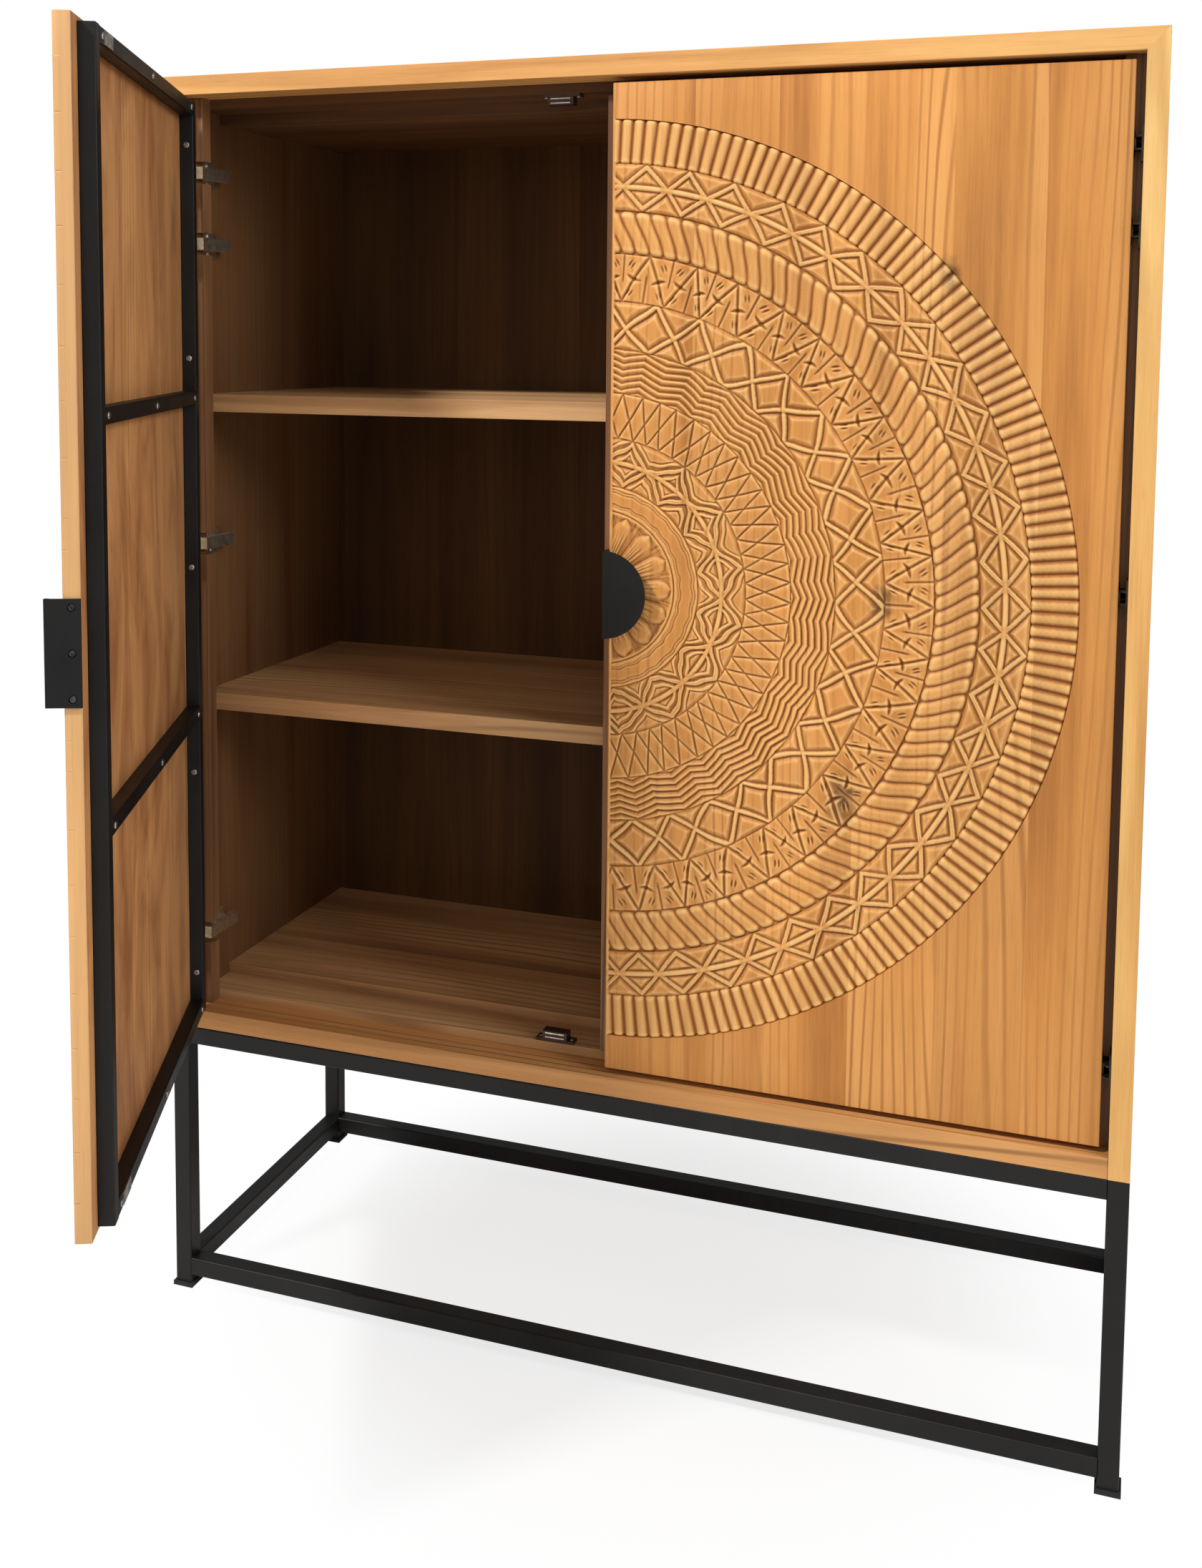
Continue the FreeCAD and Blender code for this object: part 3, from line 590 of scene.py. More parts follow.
@dataclass(frozen=True)
class Ring:
    """One ring of the round carving, in millimetres.

    Its pattern repeats all round the circle, and start is the angle of one repeat, in degrees
    below the line from the middle straight to the hinges. Pitch is the size of its faces.
    """

    name: str
    outer: float
    inner: float
    repeats: float
    start: float = 0.0
    pitch: float = 1.28

    def relief(self, cell: np.ndarray, radius: np.ndarray) -> np.ndarray:
        """Return the height of the wood over the door's face, in millimetres, never above 0."""
        raise NotImplementedError

    def heights(self, angle: np.ndarray, radius: np.ndarray) -> np.ndarray:
        """Return the relief with the hand's own unevenness and the cuts along both borders.

        Args:
            angle: degrees round the circle.
            radius: millimetres from its middle.

        Returns:
            Heights in millimetres, from the deepest cut to 0.
        """
        sway = 0.05 * np.sin(0.31 * angle + self.outer) + 0.02 * np.sin(0.83 * angle + radius * 0.005)
        cell = (angle - self.start) * self.repeats / 360.0 + sway
        depth = 1.15 + 0.10 * np.sin(1.9 * np.floor(cell) + self.inner) + 0.05 * np.sin(angle * 0.7)
        height = self.relief(cell, radius) * depth
        border = self.border(radius)
        height = np.minimum(height, -3.0 * vee(border, 2.0))
        marks = 0.06 * np.sin(radius * 0.9 + 3.0 * np.sin(angle * 0.6)) * np.sin(angle * radius * 0.011)
        return np.clip(height + marks, DEEPEST, 0.0)

    def slant(self, cell: np.ndarray, radius: np.ndarray, foot: float, tip: float,
              reach: float = 0.5) -> np.ndarray:
        """Return the distance from a straight line that leaves each repeat's middle on both sides.

        Args:
            cell: the place round the circle, in repeats.
            radius: millimetres from its middle.
            foot: the line's radius in the repeat's middle.
            tip: its radius where it ends.
            reach: how far it runs to each side, in repeats.

        Returns:
            The distance in millimetres, positive past the line.
        """
        turn = np.abs(part_of(cell) - 0.5) * 2.0 * math.pi / self.repeats
        end = reach * 2.0 * math.pi / self.repeats
        run, rise = tip * math.sin(end), tip * math.cos(end) - foot
        past = radius * np.sin(turn) * rise - (radius * np.cos(turn) - foot) * run
        return past * math.copysign(1.0 / math.hypot(run, rise), rise)

    def border(self, radius: np.ndarray) -> np.ndarray:
        """Return the distance to the nearer border, in millimetres."""
        return np.minimum(self.outer - radius, radius - self.inner)

    @property
    def middle(self) -> float:
        """Return the radius midway between the borders."""
        return (self.outer + self.inner) / 2.0

    def width(self) -> float:
        """Return the length of one repeat along the ring's middle, in millimetres."""
        return math.pi * (self.outer + self.inner) / self.repeats


@dataclass(frozen=True)
class Flutes(Ring):
    """Round staves side by side, standing on end from border to border."""

    def relief(self, cell: np.ndarray, radius: np.ndarray) -> np.ndarray:
        """Return round staves with blunt ends."""
        over = np.abs(2.0 * part_of(cell) - 1.0)
        end = self.border(radius)
        blunt = 1.0 - np.sqrt(np.clip(1.0 - (1.0 - np.clip(end / 3.0, 0.0, 1.0)) ** 2, 0.0, 1.0))
        return -0.1 - 4.2 * over ** 2.2 - 3.0 * blunt


@dataclass(frozen=True)
class Chevrons(Ring):
    """Ribbed chevrons on both sides of a round bar, with small pyramids between them."""

    bar: float = 3.0
    rib: float = 5.0

    def past(self, cell: np.ndarray, radius: np.ndarray) -> np.ndarray:
        """Return how far each point is past the nearer chevron's outer line."""
        above = self.slant(cell, radius, self.middle + self.bar, self.outer)
        below = self.slant(cell, radius, self.middle - self.bar, self.inner)
        return np.where(radius > self.middle, above, below)

    def relief(self, cell: np.ndarray, radius: np.ndarray) -> np.ndarray:
        """Return the ribs, the bar and the facets between them."""
        off = np.abs(radius - self.middle)
        border = self.border(radius)
        inside = self.past(cell, radius)
        facets = np.where(
            inside > self.rib,
            np.minimum(-0.8, -3.4 + 0.55 * np.minimum(inside - self.rib, off - self.bar)),
            np.minimum(-0.3, -3.4 + 0.48 * np.minimum(-inside, border + 2.0)))
        on_rib = (inside >= 0.0) & (inside <= self.rib)
        ribs = -1.2 + 1.1 * bead(inside - self.rib / 2.0, self.rib / 2.0) - 1.0 * vee(
            np.abs(inside - self.rib / 2.0), 0.9)
        height = np.where(on_rib, ribs, facets)
        return np.where(off < self.bar, -1.3 + 1.3 * bead(off, self.bar), height)


@dataclass(frozen=True)
class NestedChevrons(Chevrons):
    """Wide chevrons on both sides of a round bar, each with a second rib inside and outside it."""

    def relief(self, cell: np.ndarray, radius: np.ndarray) -> np.ndarray:
        """Return the doubled ribs, the bar and the facets between them."""
        height = super().relief(cell, radius)
        inside = self.past(cell, radius)
        clear = np.abs(radius - self.middle) > self.bar
        for place in (10.5, -6.0):
            near = np.abs(inside - place)
            second = np.maximum(height, -1.2 + 1.0 * bead(near, 1.7))
            height = np.where(clear & (near < 1.7), second, height)
            height = np.where(clear, np.minimum(height, -3.0 * vee(np.abs(near - 2.5), 1.1)), height)
        return height


@dataclass(frozen=True)
class Rope(Ring):
    """Leaning S-shaped strands with round backs, side by side like the lay of a rope."""

    lean: float = 1.35

    def relief(self, cell: np.ndarray, radius: np.ndarray) -> np.ndarray:
        """Return the strands, rounded at both ends."""
        share = (self.outer - radius) / (self.outer - self.inner)
        sweep = 0.45 * share + 0.55 * eased(share * 1.1 - 0.05)
        over = 2.0 * part_of(cell - self.lean * sweep) - 1.0
        end = np.clip((np.abs(share - 0.5) * 2.0 - 0.70) / 0.27, 0.0, 1.0)
        return -0.1 - 4.0 * (1.0 - np.clip(1.0 - np.abs(over) ** 2.6 - end ** 2, 0.0, 1.0) ** 0.6)


@dataclass(frozen=True)
class Stars(Ring):
    """A cut zigzag, with four-pointed stars on its legs and small cuts in its triangles."""

    def relief(self, cell: np.ndarray, radius: np.ndarray) -> np.ndarray:
        """Return the zigzag, the stars and the small cuts."""
        rise = self.outer - self.inner
        share = (self.outer - radius) / rise
        half = self.width() / 2.0
        leg = np.abs(self.slant(cell, radius, self.inner, self.outer))
        height = -0.2 - 0.12 * np.minimum(leg, 12.0) - 3.4 * vee(leg, 2.6)
        whole = part_of(cell) - 0.5
        above = np.abs(whole) * 2.0 * half
        under = half - above
        height -= 2.2 * vee(under, 1.7) * eased((share - 0.34) * 7.0)
        height -= 2.2 * vee(above, 1.7) * eased((0.66 - share) * 7.0)
        # A star's second stroke lies across the middle of each leg
        down = (share - 0.5) * rise
        for sign in (1.0, -1.0):
            x = (whole + 0.25 * sign) * 2.0 * half
            run = 0.93 * x - 0.37 * sign * down
            over = 0.37 * sign * x + 0.93 * down
            height -= 4.0 * chip(run, over, 22.0, 6.4, 2.4 * sign)
            for gap in (-2.1, 2.1):
                for level in (-0.30, 0.30):
                    lift = down - level * rise
                    tick = 0.5 * (x - 3.5 * sign) + 0.87 * lift * sign
                    beside = 0.87 * (x - 3.5 * sign) - 0.5 * lift * sign + gap
                    height -= 2.6 * chip(tick, beside, 13.0, 3.4, 0.3)
        return height


@dataclass(frozen=True)
class Lattice(Ring):
    """Two ribs that cross each other all round, with a pyramid in every diamond."""

    rib: float = 2.5

    def relief(self, cell: np.ndarray, radius: np.ndarray) -> np.ndarray:
        """Return the crossing ribs and the pyramids."""
        first = np.abs(self.slant(cell + 0.5, radius, self.outer, self.inner, 1.0))
        second = np.abs(self.slant(cell + 0.5, radius, self.inner, self.outer, 1.0))
        near = np.minimum(first, second)
        border = self.border(radius)
        facets = np.minimum(-0.3, -3.6 + 0.50 * np.minimum(near - self.rib, border + 1.0))
        over = -1.2 + 1.1 * bead(first, self.rib)
        under = -1.3 + 1.1 * bead(second, self.rib) - 1.4 * vee(first, 2.2 * self.rib)
        ribs = np.where(first < self.rib, over, under)
        return np.where(near < self.rib, ribs, facets)


@dataclass(frozen=True)
class Zigzags(Ring):
    """Even zigzag steps one below the other, each with a sharp upper edge."""

    step: float = 8.1
    swing: float = 7.6

    def relief(self, cell: np.ndarray, radius: np.ndarray) -> np.ndarray:
        """Return the stepped zigzags."""
        place = part_of((self.outer - radius - self.swing * (1.0 - peaks(cell))) / self.step - 0.15)
        return -0.1 - 3.3 * np.where(place < 0.2, 1.0 - place / 0.2, ((place - 0.2) / 0.8) ** 1.3)


@dataclass(frozen=True)
class Crosses(Ring):
    """Straight V cuts that cross one another, with flat diamonds between them."""

    def relief(self, cell: np.ndarray, radius: np.ndarray) -> np.ndarray:
        """Return the crossing cuts."""
        near = np.minimum(np.abs(self.slant(cell + 0.5, radius, self.outer, self.inner, 1.0)),
                          np.abs(self.slant(cell + 0.5, radius, self.inner, self.outer, 1.0)))
        return -0.3 - 0.6 * vee(near, 6.0) - 2.4 * vee(near, 1.6)


@dataclass(frozen=True)
class Waves(Ring):
    """A plain band between wavy lines that follow its two borders."""

    def relief(self, cell: np.ndarray, radius: np.ndarray) -> np.ndarray:
        """Return the plain band with its wavy cuts."""
        ripple = 0.9 * np.sin(2.0 * math.pi * cell)
        height = np.full_like(radius, -0.4)
        for depth, cut in ((4.6, 1.7), (7.8, 1.6), (self.outer - self.inner - 8.4, 1.8),
                           (self.outer - self.inner - 5.6, 1.2)):
            height -= cut * vee(np.abs(self.outer - radius - depth + ripple), 1.3)
        return height


@dataclass(frozen=True)
class Petals(Ring):
    """A flower of round-backed petals with cut veins, and small chips between their tips."""

    tip: float = 3.0
    round_off: float = 17.0

    def relief(self, cell: np.ndarray, radius: np.ndarray) -> np.ndarray:
        """Return the petals, their veins and the chips between the tips."""
        over = 2.0 * part_of(cell + 0.5) - 1.0
        from_tip = self.outer - self.tip - radius
        limit = 0.96 * np.clip(from_tip / self.round_off, 0.0, 1.0) ** 0.55
        share = np.abs(over) / np.maximum(limit, 1e-3)
        back = -0.3 - 3.0 * share ** 2.6 - 1.6 * vee(from_tip, 9.0)
        fade = eased((self.outer - 18.0 - radius) / 10.0)
        for place, cut in ((0.0, 1.6), (0.36, 1.2), (0.68, 0.9)):
            line = np.abs(np.abs(over) - place) * math.pi * radius / self.repeats
            back = back - cut * fade * vee(line, 1.2)
        ground = -2.9 + 1.9 * eased((radius - self.outer + 9.0) / 7.0)
        for place in (0.80, 1.0):
            line = np.abs(np.abs(over) - place) * math.pi * radius / self.repeats
            ground = ground - 1.2 * vee(line, 1.0) * eased((self.outer - 2.5 - radius) / 2.0)
        return np.where(share < 1.0, np.maximum(back, -3.6), ground)


# The carving's radius, the radii of the grooves between its rings, and the flower's plain eye,
# which lies past the meeting edges
RADIUS = 574.0
SHARES = (1.0, 0.907, 0.809, 0.717, 0.618, 0.515, 0.422, 0.325, 0.222, 0.168)
BORDERS = [RADIUS * share for share in SHARES]
EYE = 13.2
RINGS = (
    Flutes("flutes", BORDERS[0], BORDERS[1], 230),
    Chevrons("chevrons", BORDERS[1], BORDERS[2], 56, -64.65, 1.15),
    Rope("rope", BORDERS[2], BORDERS[3], 144),
    Stars("stars", BORDERS[3], BORDERS[4], 44, -65.1, 1.1),
    Lattice("lattice", BORDERS[4], BORDERS[5], 36, -58.8, 1.15),
    Zigzags("zigzags", BORDERS[5], BORDERS[6], 32, -67.2, 0.9),
    Crosses("crosses", BORDERS[6], BORDERS[7], 64, -54.8, 0.95),
    NestedChevrons("nested_chevrons", BORDERS[7], BORDERS[8], 16, -55.0, 0.95),
    Waves("waves", BORDERS[8], BORDERS[9], 30, 0.0, 0.9),
    Petals("petals", BORDERS[9], EYE, 16, 0.0, 0.9),
)


def softened(heights: np.ndarray, passes: int) -> np.ndarray:
    """Return a grid of heights averaged with its neighbours, some passes over.

    Args:
        heights: rows and columns of heights.
        passes: how many times each point is averaged with the two on each side.

    Returns:
        The smoother grid.
    """
    for _ in range(passes):
        for axis in (0, 1):
            padded = np.pad(heights, [(1, 1) if a == axis else (0, 0) for a in (0, 1)], mode="edge")
            low, high = (np.take(padded, range(s, s + heights.shape[axis]), axis) for s in (0, 2))
            heights = (low + 2.0 * heights + high) / 4.0
    return heights


@dataclass(frozen=True)
class DoorPlace:
    """Where a door stands: its hinge axis, how it is turned, and the side that it is hung on."""

    side: str
    sign: float
    axis_x: float
    axis_y: float
    turn: float

    @property
    def body(self) -> str:
        """Return the name of the door's body."""
        return f"{self.side}_door"

    def matrix(self) -> Matrix:
        """Return the place of the door's own frame in the cabinet's frame."""
        return Matrix.Translation((self.axis_x, self.axis_y, 0.0)) @ Matrix.Rotation(self.turn, 4, "Z")


@dataclass
class CarvedLeaf:
    """A door leaf of joined teak planks, carved with its half of the round pattern.

    It is drawn in the door's own frame: X to the meeting edge on the left door and away from it
    on the right one, +Y into the cabinet. The lengths are in metres, and the glue under the
    carving, in millimetres.
    """

    place: DoorPlace
    wood: Material
    carved_wood: Material
    hinge_edge: float
    meeting_edge: float
    front: float
    back: float
    bottom: float
    top: float
    middle_level: float
    ease: float = 1.2 * MM
    past_edge: float = 13 * MM
    pocket: float = 7 * MM
    glue: float = 0.05

    def build(self) -> None:
        """Build the leaf and the ten rings of its carving."""
        self.leaf()
        for ring in RINGS:
            self.carve(ring)

    def leaf(self) -> Object:
        """Build the leaf: a board with eased edges and a shallow round pocket for the carving."""
        sign = self.place.sign
        size = (self.meeting_edge - self.hinge_edge, self.back - self.front, self.top - self.bottom)
        centre = (sign * (self.meeting_edge + self.hinge_edge) / 2, (self.front + self.back) / 2,
                  (self.bottom + self.top) / 2)
        deselect()
        bpy.ops.mesh.primitive_cube_add(size=1.0, location=centre, scale=size)
        board = bpy.context.object
        bpy.ops.object.transform_apply(location=True, rotation=True, scale=True)
        bpy.ops.object.mode_set(mode="EDIT")
        bpy.ops.mesh.bevel(offset=self.ease, segments=3, affect="EDGES")
        bpy.ops.object.mode_set(mode="OBJECT")
        deselect()
        bpy.ops.mesh.primitive_cylinder_add(
            vertices=720, radius=RADIUS * MM, depth=2 * self.pocket, rotation=(math.pi / 2, 0.0, 0.0),
            location=(sign * (self.meeting_edge + self.past_edge), self.front, self.middle_level))
        hollow_out(board, bpy.context.object)
        choose(board)
        bpy.ops.object.shade_smooth_by_angle(angle=math.radians(35))
        return settle(board, f"{self.place.body}_leaf", self.wood, self.place.body, "teak",
                      (f"{self.place.body}_panel",), self.place.matrix())

    def carve(self, ring: Ring) -> Object:
        """Build one ring of the carving as a closed inlay that fills its part of the pocket.

        Args:
            ring: the ring's sizes and pattern.

        Returns:
            The piece.
        """
        columns = int(math.pi * (ring.outer + ring.inner) / 2.0 / ring.pitch)
        rows = max(8, int((ring.outer - ring.inner) / ring.pitch))
        piece = self.slab(columns, rows)
        points = coordinates(piece)
        top = points[:, 2] > -0.5
        column = np.rint((points[:, 0] + 1.0) / 2.0 * columns).astype(int)
        row = np.rint((points[:, 1] + 1.0) / 2.0 * rows).astype(int)
        radius = ring.inner + (ring.outer - ring.inner) * np.arange(rows + 1) / rows
        limit = np.arccos(np.clip(self.past_edge / MM / radius, -1.0, 1.0))
        angle = (2.0 * np.arange(columns + 1)[None, :] / columns - 1.0) * limit[:, None]
        reach = np.broadcast_to(radius[:, None], angle.shape)
        height, shades = self.surface(ring, angle, reach)
        far, turn = reach[row, column], angle[row, column]
        depth = np.where(top, -height[row, column], self.pocket / MM - self.glue)
        points[:, 0] = self.place.sign * (self.meeting_edge + self.past_edge - far * np.cos(turn) * MM)
        points[:, 1] = self.front + depth * MM
        points[:, 2] = self.middle_level - far * np.sin(turn) * MM
        set_coordinates(piece, points)
        for name, grid in shades.items():
            attribute = piece.data.attributes.new(name, "FLOAT", "POINT")
            attribute.data.foreach_set("value", grid[row, column].astype(np.float32))
        piece.data.shade_smooth()
        outward(piece)
        return settle(piece, f"{self.place.body}_carving_{ring.name}", self.carved_wood,
                      self.place.body, "teak", (), self.place.matrix())

    def slab(self, columns: int, rows: int) -> Object:
        """Return a closed slab, 2 wide, 2 high and 1 thick, whose top is a grid with sharp rims.

        Args:
            columns: the grid's faces from left to right.
            rows: its faces from bottom to top.

        Returns:
            The slab.
        """
        deselect()
        bpy.ops.mesh.primitive_grid_add(x_subdivisions=columns, y_subdivisions=rows, size=2.0)
        piece = bpy.context.object
        bpy.ops.object.mode_set(mode="EDIT")
        bpy.ops.mesh.select_all(action="SELECT")
        bpy.ops.mesh.region_to_loop()
        bpy.ops.mesh.mark_sharp()
        bpy.ops.mesh.extrude_edges_move(TRANSFORM_OT_translate={"value": (0.0, 0.0, -1.0)})
        bpy.ops.mesh.mark_sharp()
        bpy.ops.mesh.edge_face_add()
        bpy.ops.object.mode_set(mode="OBJECT")
        return piece

    def surface(self, ring: Ring, angle: np.ndarray,
                reach: np.ndarray) -> tuple[np.ndarray, dict[str, np.ndarray]]:
        """Return a ring's carved surface on a grid of places.

        Args:
            ring: the ring's sizes and pattern.
            angle: radians round the circle, in rows and columns.
            reach: millimetres from the circle's middle.

        Returns:
            The heights, and how far each place takes painted shade with stain in its cuts and a painted
            highlight with wear on its crests, from 0 to 1.
        """
        # Each point takes the mean of four places round it, so that slanting cuts come out even
        quarter = ring.pitch / 4.0
        height = sum(
            ring.heights(np.degrees(angle + side / reach), np.clip(reach + out, ring.inner, ring.outer))
            for side in (-quarter, quarter) for out in (-quarter, quarter)) / 4.0
        # The meeting edge is eased as the board's own edges are
        from_edge = reach * np.cos(angle) - self.past_edge / MM
        ease = self.ease / MM
        height = height * eased((from_edge - 2.6) / 2.0)
        height = np.minimum(height, -ease + ease * bead(np.minimum(from_edge - ease, 0.0), ease))
        # Painted shade with stain where the carving lies below a softened copy of itself, more in the
        # deepest cuts; a painted highlight with wear where it stands above
        soft = softened(height, 10)
        plain = eased(from_edge / 4.0)
        deep = np.clip((-1.8 - height) / 6.0, 0.0, 0.2)
        cut_shade_and_stain = plain * (np.clip((soft - height) / 1.3, 0.0, 1.0) * 0.75 + deep)
        crest_highlight_and_wear = plain * np.clip((height - soft - 0.1) / 0.8, 0.0, 1.0) * 0.7
        return height, {"cut_shade_and_stain": cut_shade_and_stain, "crest_highlight_and_wear": crest_highlight_and_wear}


class Drive(Enum):
    """The recess that a screw is turned by."""

    SOCKET = "hexagon socket"
    CROSS = "cross recess"


@dataclass
class ScrewHeads:
    """The domed heads of all the screws of one CAD node, standing where its solids stand.

    Share is how much of the CAD screws' height they take, as the shelves' fronts meet those.
    """

    node: str
    body: str
    slot: str
    finish: Material
    drive: Drive
    place: Matrix
    share: float = 0.85

    def build(self) -> Object:
        """Model one head and copy it to every screw.

        Returns:
            The piece that all the heads make.
        """
        spots = self.spots()
        head = self.head(spots[0][1], self.share * spots[0][2])
        copies = []
        for number, (foot, _, _, heading) in enumerate(spots):
            one = head.copy()
            one.data = head.data.copy()
            bpy.context.scene.collection.objects.link(one)
            upright = Vector((0.0, 0.0, 1.0)).rotation_difference(heading).to_matrix().to_4x4()
            turned = Matrix.Rotation(0.65 * number, 4, "Z")
            one.data.transform(Matrix.Translation(foot) @ upright @ turned)
            copies.append(one)
        bpy.data.objects.remove(head)
        deselect()
        for one in copies:
            one.select_set(True)
        bpy.context.view_layer.objects.active = copies[0]
        bpy.ops.object.join()
        return settle(bpy.context.object, f"{self.node}_heads", self.finish, self.body, self.slot,
                      (self.node,), self.place)

    def spots(self) -> list[tuple[Vector, float, float, Vector]]:
        """Return each screw's foot, radius, height and heading, in its body's own frame."""
        loose = frame["nodes"][self.node].copy()
        loose.data = loose.data.copy()
        bpy.context.scene.collection.objects.link(loose)
        choose(loose)
        bpy.ops.object.mode_set(mode="EDIT")
        bpy.ops.mesh.select_all(action="SELECT")
        bpy.ops.mesh.remove_doubles(threshold=0.01 * MM)
        bpy.ops.mesh.separate(type="LOOSE")
        bpy.ops.object.mode_set(mode="OBJECT")
        found = []
        for solid in list(bpy.context.selected_objects):
            solid.data.transform(self.place.inverted() @ solid.matrix_world)
            points = coordinates(solid)
            low, high = points.min(axis=0), points.max(axis=0)
            centre, size = (low + high) / 2, high - low
            axis = int(np.argmin(size))
            # A head is narrower on its outer side
            off = np.linalg.norm(np.delete(points - centre, axis, axis=1), axis=1)
            ends = [off[np.abs(points[:, axis] - end[axis]) < 0.01 * MM].max() for end in (low, high)]
            heading = Vector([0.0, 0.0, 0.0])
            heading[axis] = -1.0 if ends[0] < ends[1] - 0.01 * MM else 1.0
            foot = Vector(centre) - heading * float(size[axis]) / 2
            found.append((foot, float(size.max()) / 2, float(size[axis]), heading))
            bpy.data.objects.remove(solid)
        return sorted(found, key=lambda spot: [round(spot[0][axis], 4) for axis in (2, 0, 1)])

    def head(self, radius: float, height: float) -> Object:
        """Model one head on end, with its foot at the origin.

        Args:
            radius: the head's radius.
            height: its height.

        Returns:
            The head.
        """
        deselect()
        bpy.ops.mesh.primitive_cylinder_add(vertices=32, radius=radius, depth=height,
                                            location=(0.0, 0.0, height / 2))
        head = bpy.context.object
        bpy.ops.object.transform_apply(location=True, rotation=True, scale=True)
        bpy.ops.object.mode_set(mode="EDIT")
        bpy.ops.mesh.select_mode(type="FACE")
        bpy.ops.mesh.select_all(action="DESELECT")
        bpy.ops.object.mode_set(mode="OBJECT")
        for face in head.data.polygons:
            face.select = face.normal.z > 0.5
        bpy.ops.object.mode_set(mode="EDIT")
        bpy.ops.mesh.bevel(offset=min(0.8 * height, 0.45 * radius), segments=4, affect="EDGES")
        bpy.ops.object.mode_set(mode="OBJECT")
        # The second stroke of a cross is a little deeper, so that no two faces lie in one plane
        cuts = [(6, 0.52 * radius, 1.0, 1.3 * height, 0.0)]
        if self.drive is Drive.CROSS:
            cuts = [(4, 0.80 * radius, 0.26, (1.25 + 0.1 * stroke) * height, stroke * math.pi / 2)
                    for stroke in (0, 1)]
        for count, reach, narrow, depth, turn in cuts:
            deselect()
            bpy.ops.mesh.primitive_cylinder_add(vertices=count, radius=reach, depth=depth,
                                                location=(0.0, 0.0, height), rotation=(0.0, 0.0, turn))
            tool = bpy.context.object
            tool.scale.y = narrow
            bpy.ops.object.transform_apply(location=True, rotation=True, scale=True)
            hollow_out(head, tool)
        choose(head)
        bpy.ops.object.shade_smooth_by_angle(angle=math.radians(35))
        return head


# The cabinet's dressing
@dataclass
class Workshop:
    """All the finishes of the cabinet, made once."""

    left: DoorPlace

    def __post_init__(self) -> None:
        """Make the finishes."""
        turned = (self.left.axis_x, self.left.axis_y, self.left.turn)
        knots = (Knot(0.405, 1.413, 0.016), Knot(0.336, 1.031, 0.018), Knot(0.293, 0.79, 0.026))
        door = dict(pale="#DA9B56", middle="#CB8944", dark="#A0632A", plank=0.102, seed=0.37)
        carved = dict(carved=True, roughness=0.5)
        level = dict(grain=Grain.ACROSS, plank=0.16)
        # A tint begins half a millimetre short of the face that it is for
        short = 0.5 * MM
        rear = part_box("right_door_panel")[1].y - short
        edge = meeting_edge(self.left) - short
        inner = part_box("right_side")[0].x + short
        self.door = Teak("oiled_teak_door", knots=knots, dulled_past=rear, **door).make()
        self.carved = Teak("oiled_teak_carved", knots=knots, **carved, **door).make()
        self.turned_door = Teak("oiled_teak_open_door", turn=turned, highlight_past=edge,
                                dulled_past=rear - self.left.axis_y, **door).make()
        self.turned_carved = Teak("oiled_teak_open_carved", turn=turned, highlight_past=edge,
                                  **carved, **door).make()
        self.sides = Teak("oiled_teak_sides", "#F2C57C", "#E6AF66", "#B47A3C", Grain.SIDE_UPRIGHT,
                          plank=0.16, figured=0.4, shaded_within=inner).make()
        self.top = Teak("oiled_teak_top", "#EAB46C", "#DA9E5C", "#A86E34", **level, seed=1.7).make()
        self.bottom = Teak("oiled_teak_bottom", "#D89E60", "#C2864C", "#8E5E30", **level, seed=2.9).make()
        self.shelves = Teak("stained_teak_shelves", "#D8AC78", "#C49464", "#906640", Grain.ACROSS,
                            plank=0.12).make()
        self.lining = Teak("stained_teak_back", "#64421F", "#533515", "#40270E", plank=0.2,
                           roughness=0.6, figured=0.3).make()
        self.ceiling = Teak("stained_teak_ceiling", "#7A5230", "#644224", "#462C14", Grain.ACROSS,
                            plank=0.12, roughness=0.6).make()
        self.strips = Teak("stained_teak_strips", "#9A6E48", "#7E5636", "#5A3A22", plank=0.3,
                           roughness=0.5).make()
        self.iron = CoatedIron("powder_coated_iron").make()
        self.pull = CoatedIron("powder_coated_pull", "#0D0D0D", "#151514", 0.5).make()
        self.nickel = PlatedMetal("nickel_plated_steel", "#D8CDB4", "#FFF8EA", 0.3).make()
        # A dark copy of the plating, as painted shade on the right door's hinge parts in their gap
        self.dull = PlatedMetal("shaded_plated_steel", "#332C24", "#4A4238", 0.5).make()
        self.zinc = PlatedMetal("zinc_plated_steel", "#8E8E8A", "#C4C4C0", 0.3).make()
        self.black_steel = PlatedMetal("blackened_steel", "#3A3A38", "#6A6A68", 0.32).make()
        self.plastic = MouldedPlastic("moulded_brown_abs", "#38241C", "#4C3428", 0.32).make()
        self.rubber = MouldedPlastic("black_rubber", "#161514", "#262422", 0.75).make()

    def finish_for(self, node: str) -> Material:
        """Return the finish of a CAD node.

        Args:
            node: the node's name.

        Returns:
            Its material.
        """
        named = {
            "left_side": self.sides, "right_side": self.sides, "top_board": self.top,
            "bottom_board": self.bottom, "back_panel": self.lining, "right_door_batten": self.strips,
            # The right door's hinge parts take the dark plating that paints their shade
            "foot_pads": self.rubber, "catch_bodies": self.plastic, "right_hinge_mounts": self.dull,
            "right_door_hinge_cups": self.dull, "left_door_panel": self.turned_door,
            "right_door_panel": self.door}
        # The first of these words that is part of a node's name gives its finish
        kinds = (("ceiling_", self.ceiling), ("hinge_strip", self.strips), ("floor_", self.shelves),
                 ("_shelf", self.shelves), ("frame_screws", self.zinc), ("strike", self.zinc),
                 ("hinge_mount", self.nickel), ("hinge_cups", self.nickel), ("catch_", self.nickel),
                 ("pull", self.pull))
        return named.get(node) or next((kind for word, kind in kinds if word in node), self.iron)

    def dress(self) -> None:
        """Give every CAD node its finish."""
        for name, thing in frame["nodes"].items():
            thing.data.materials.clear()
            thing.data.materials.append(self.finish_for(name))


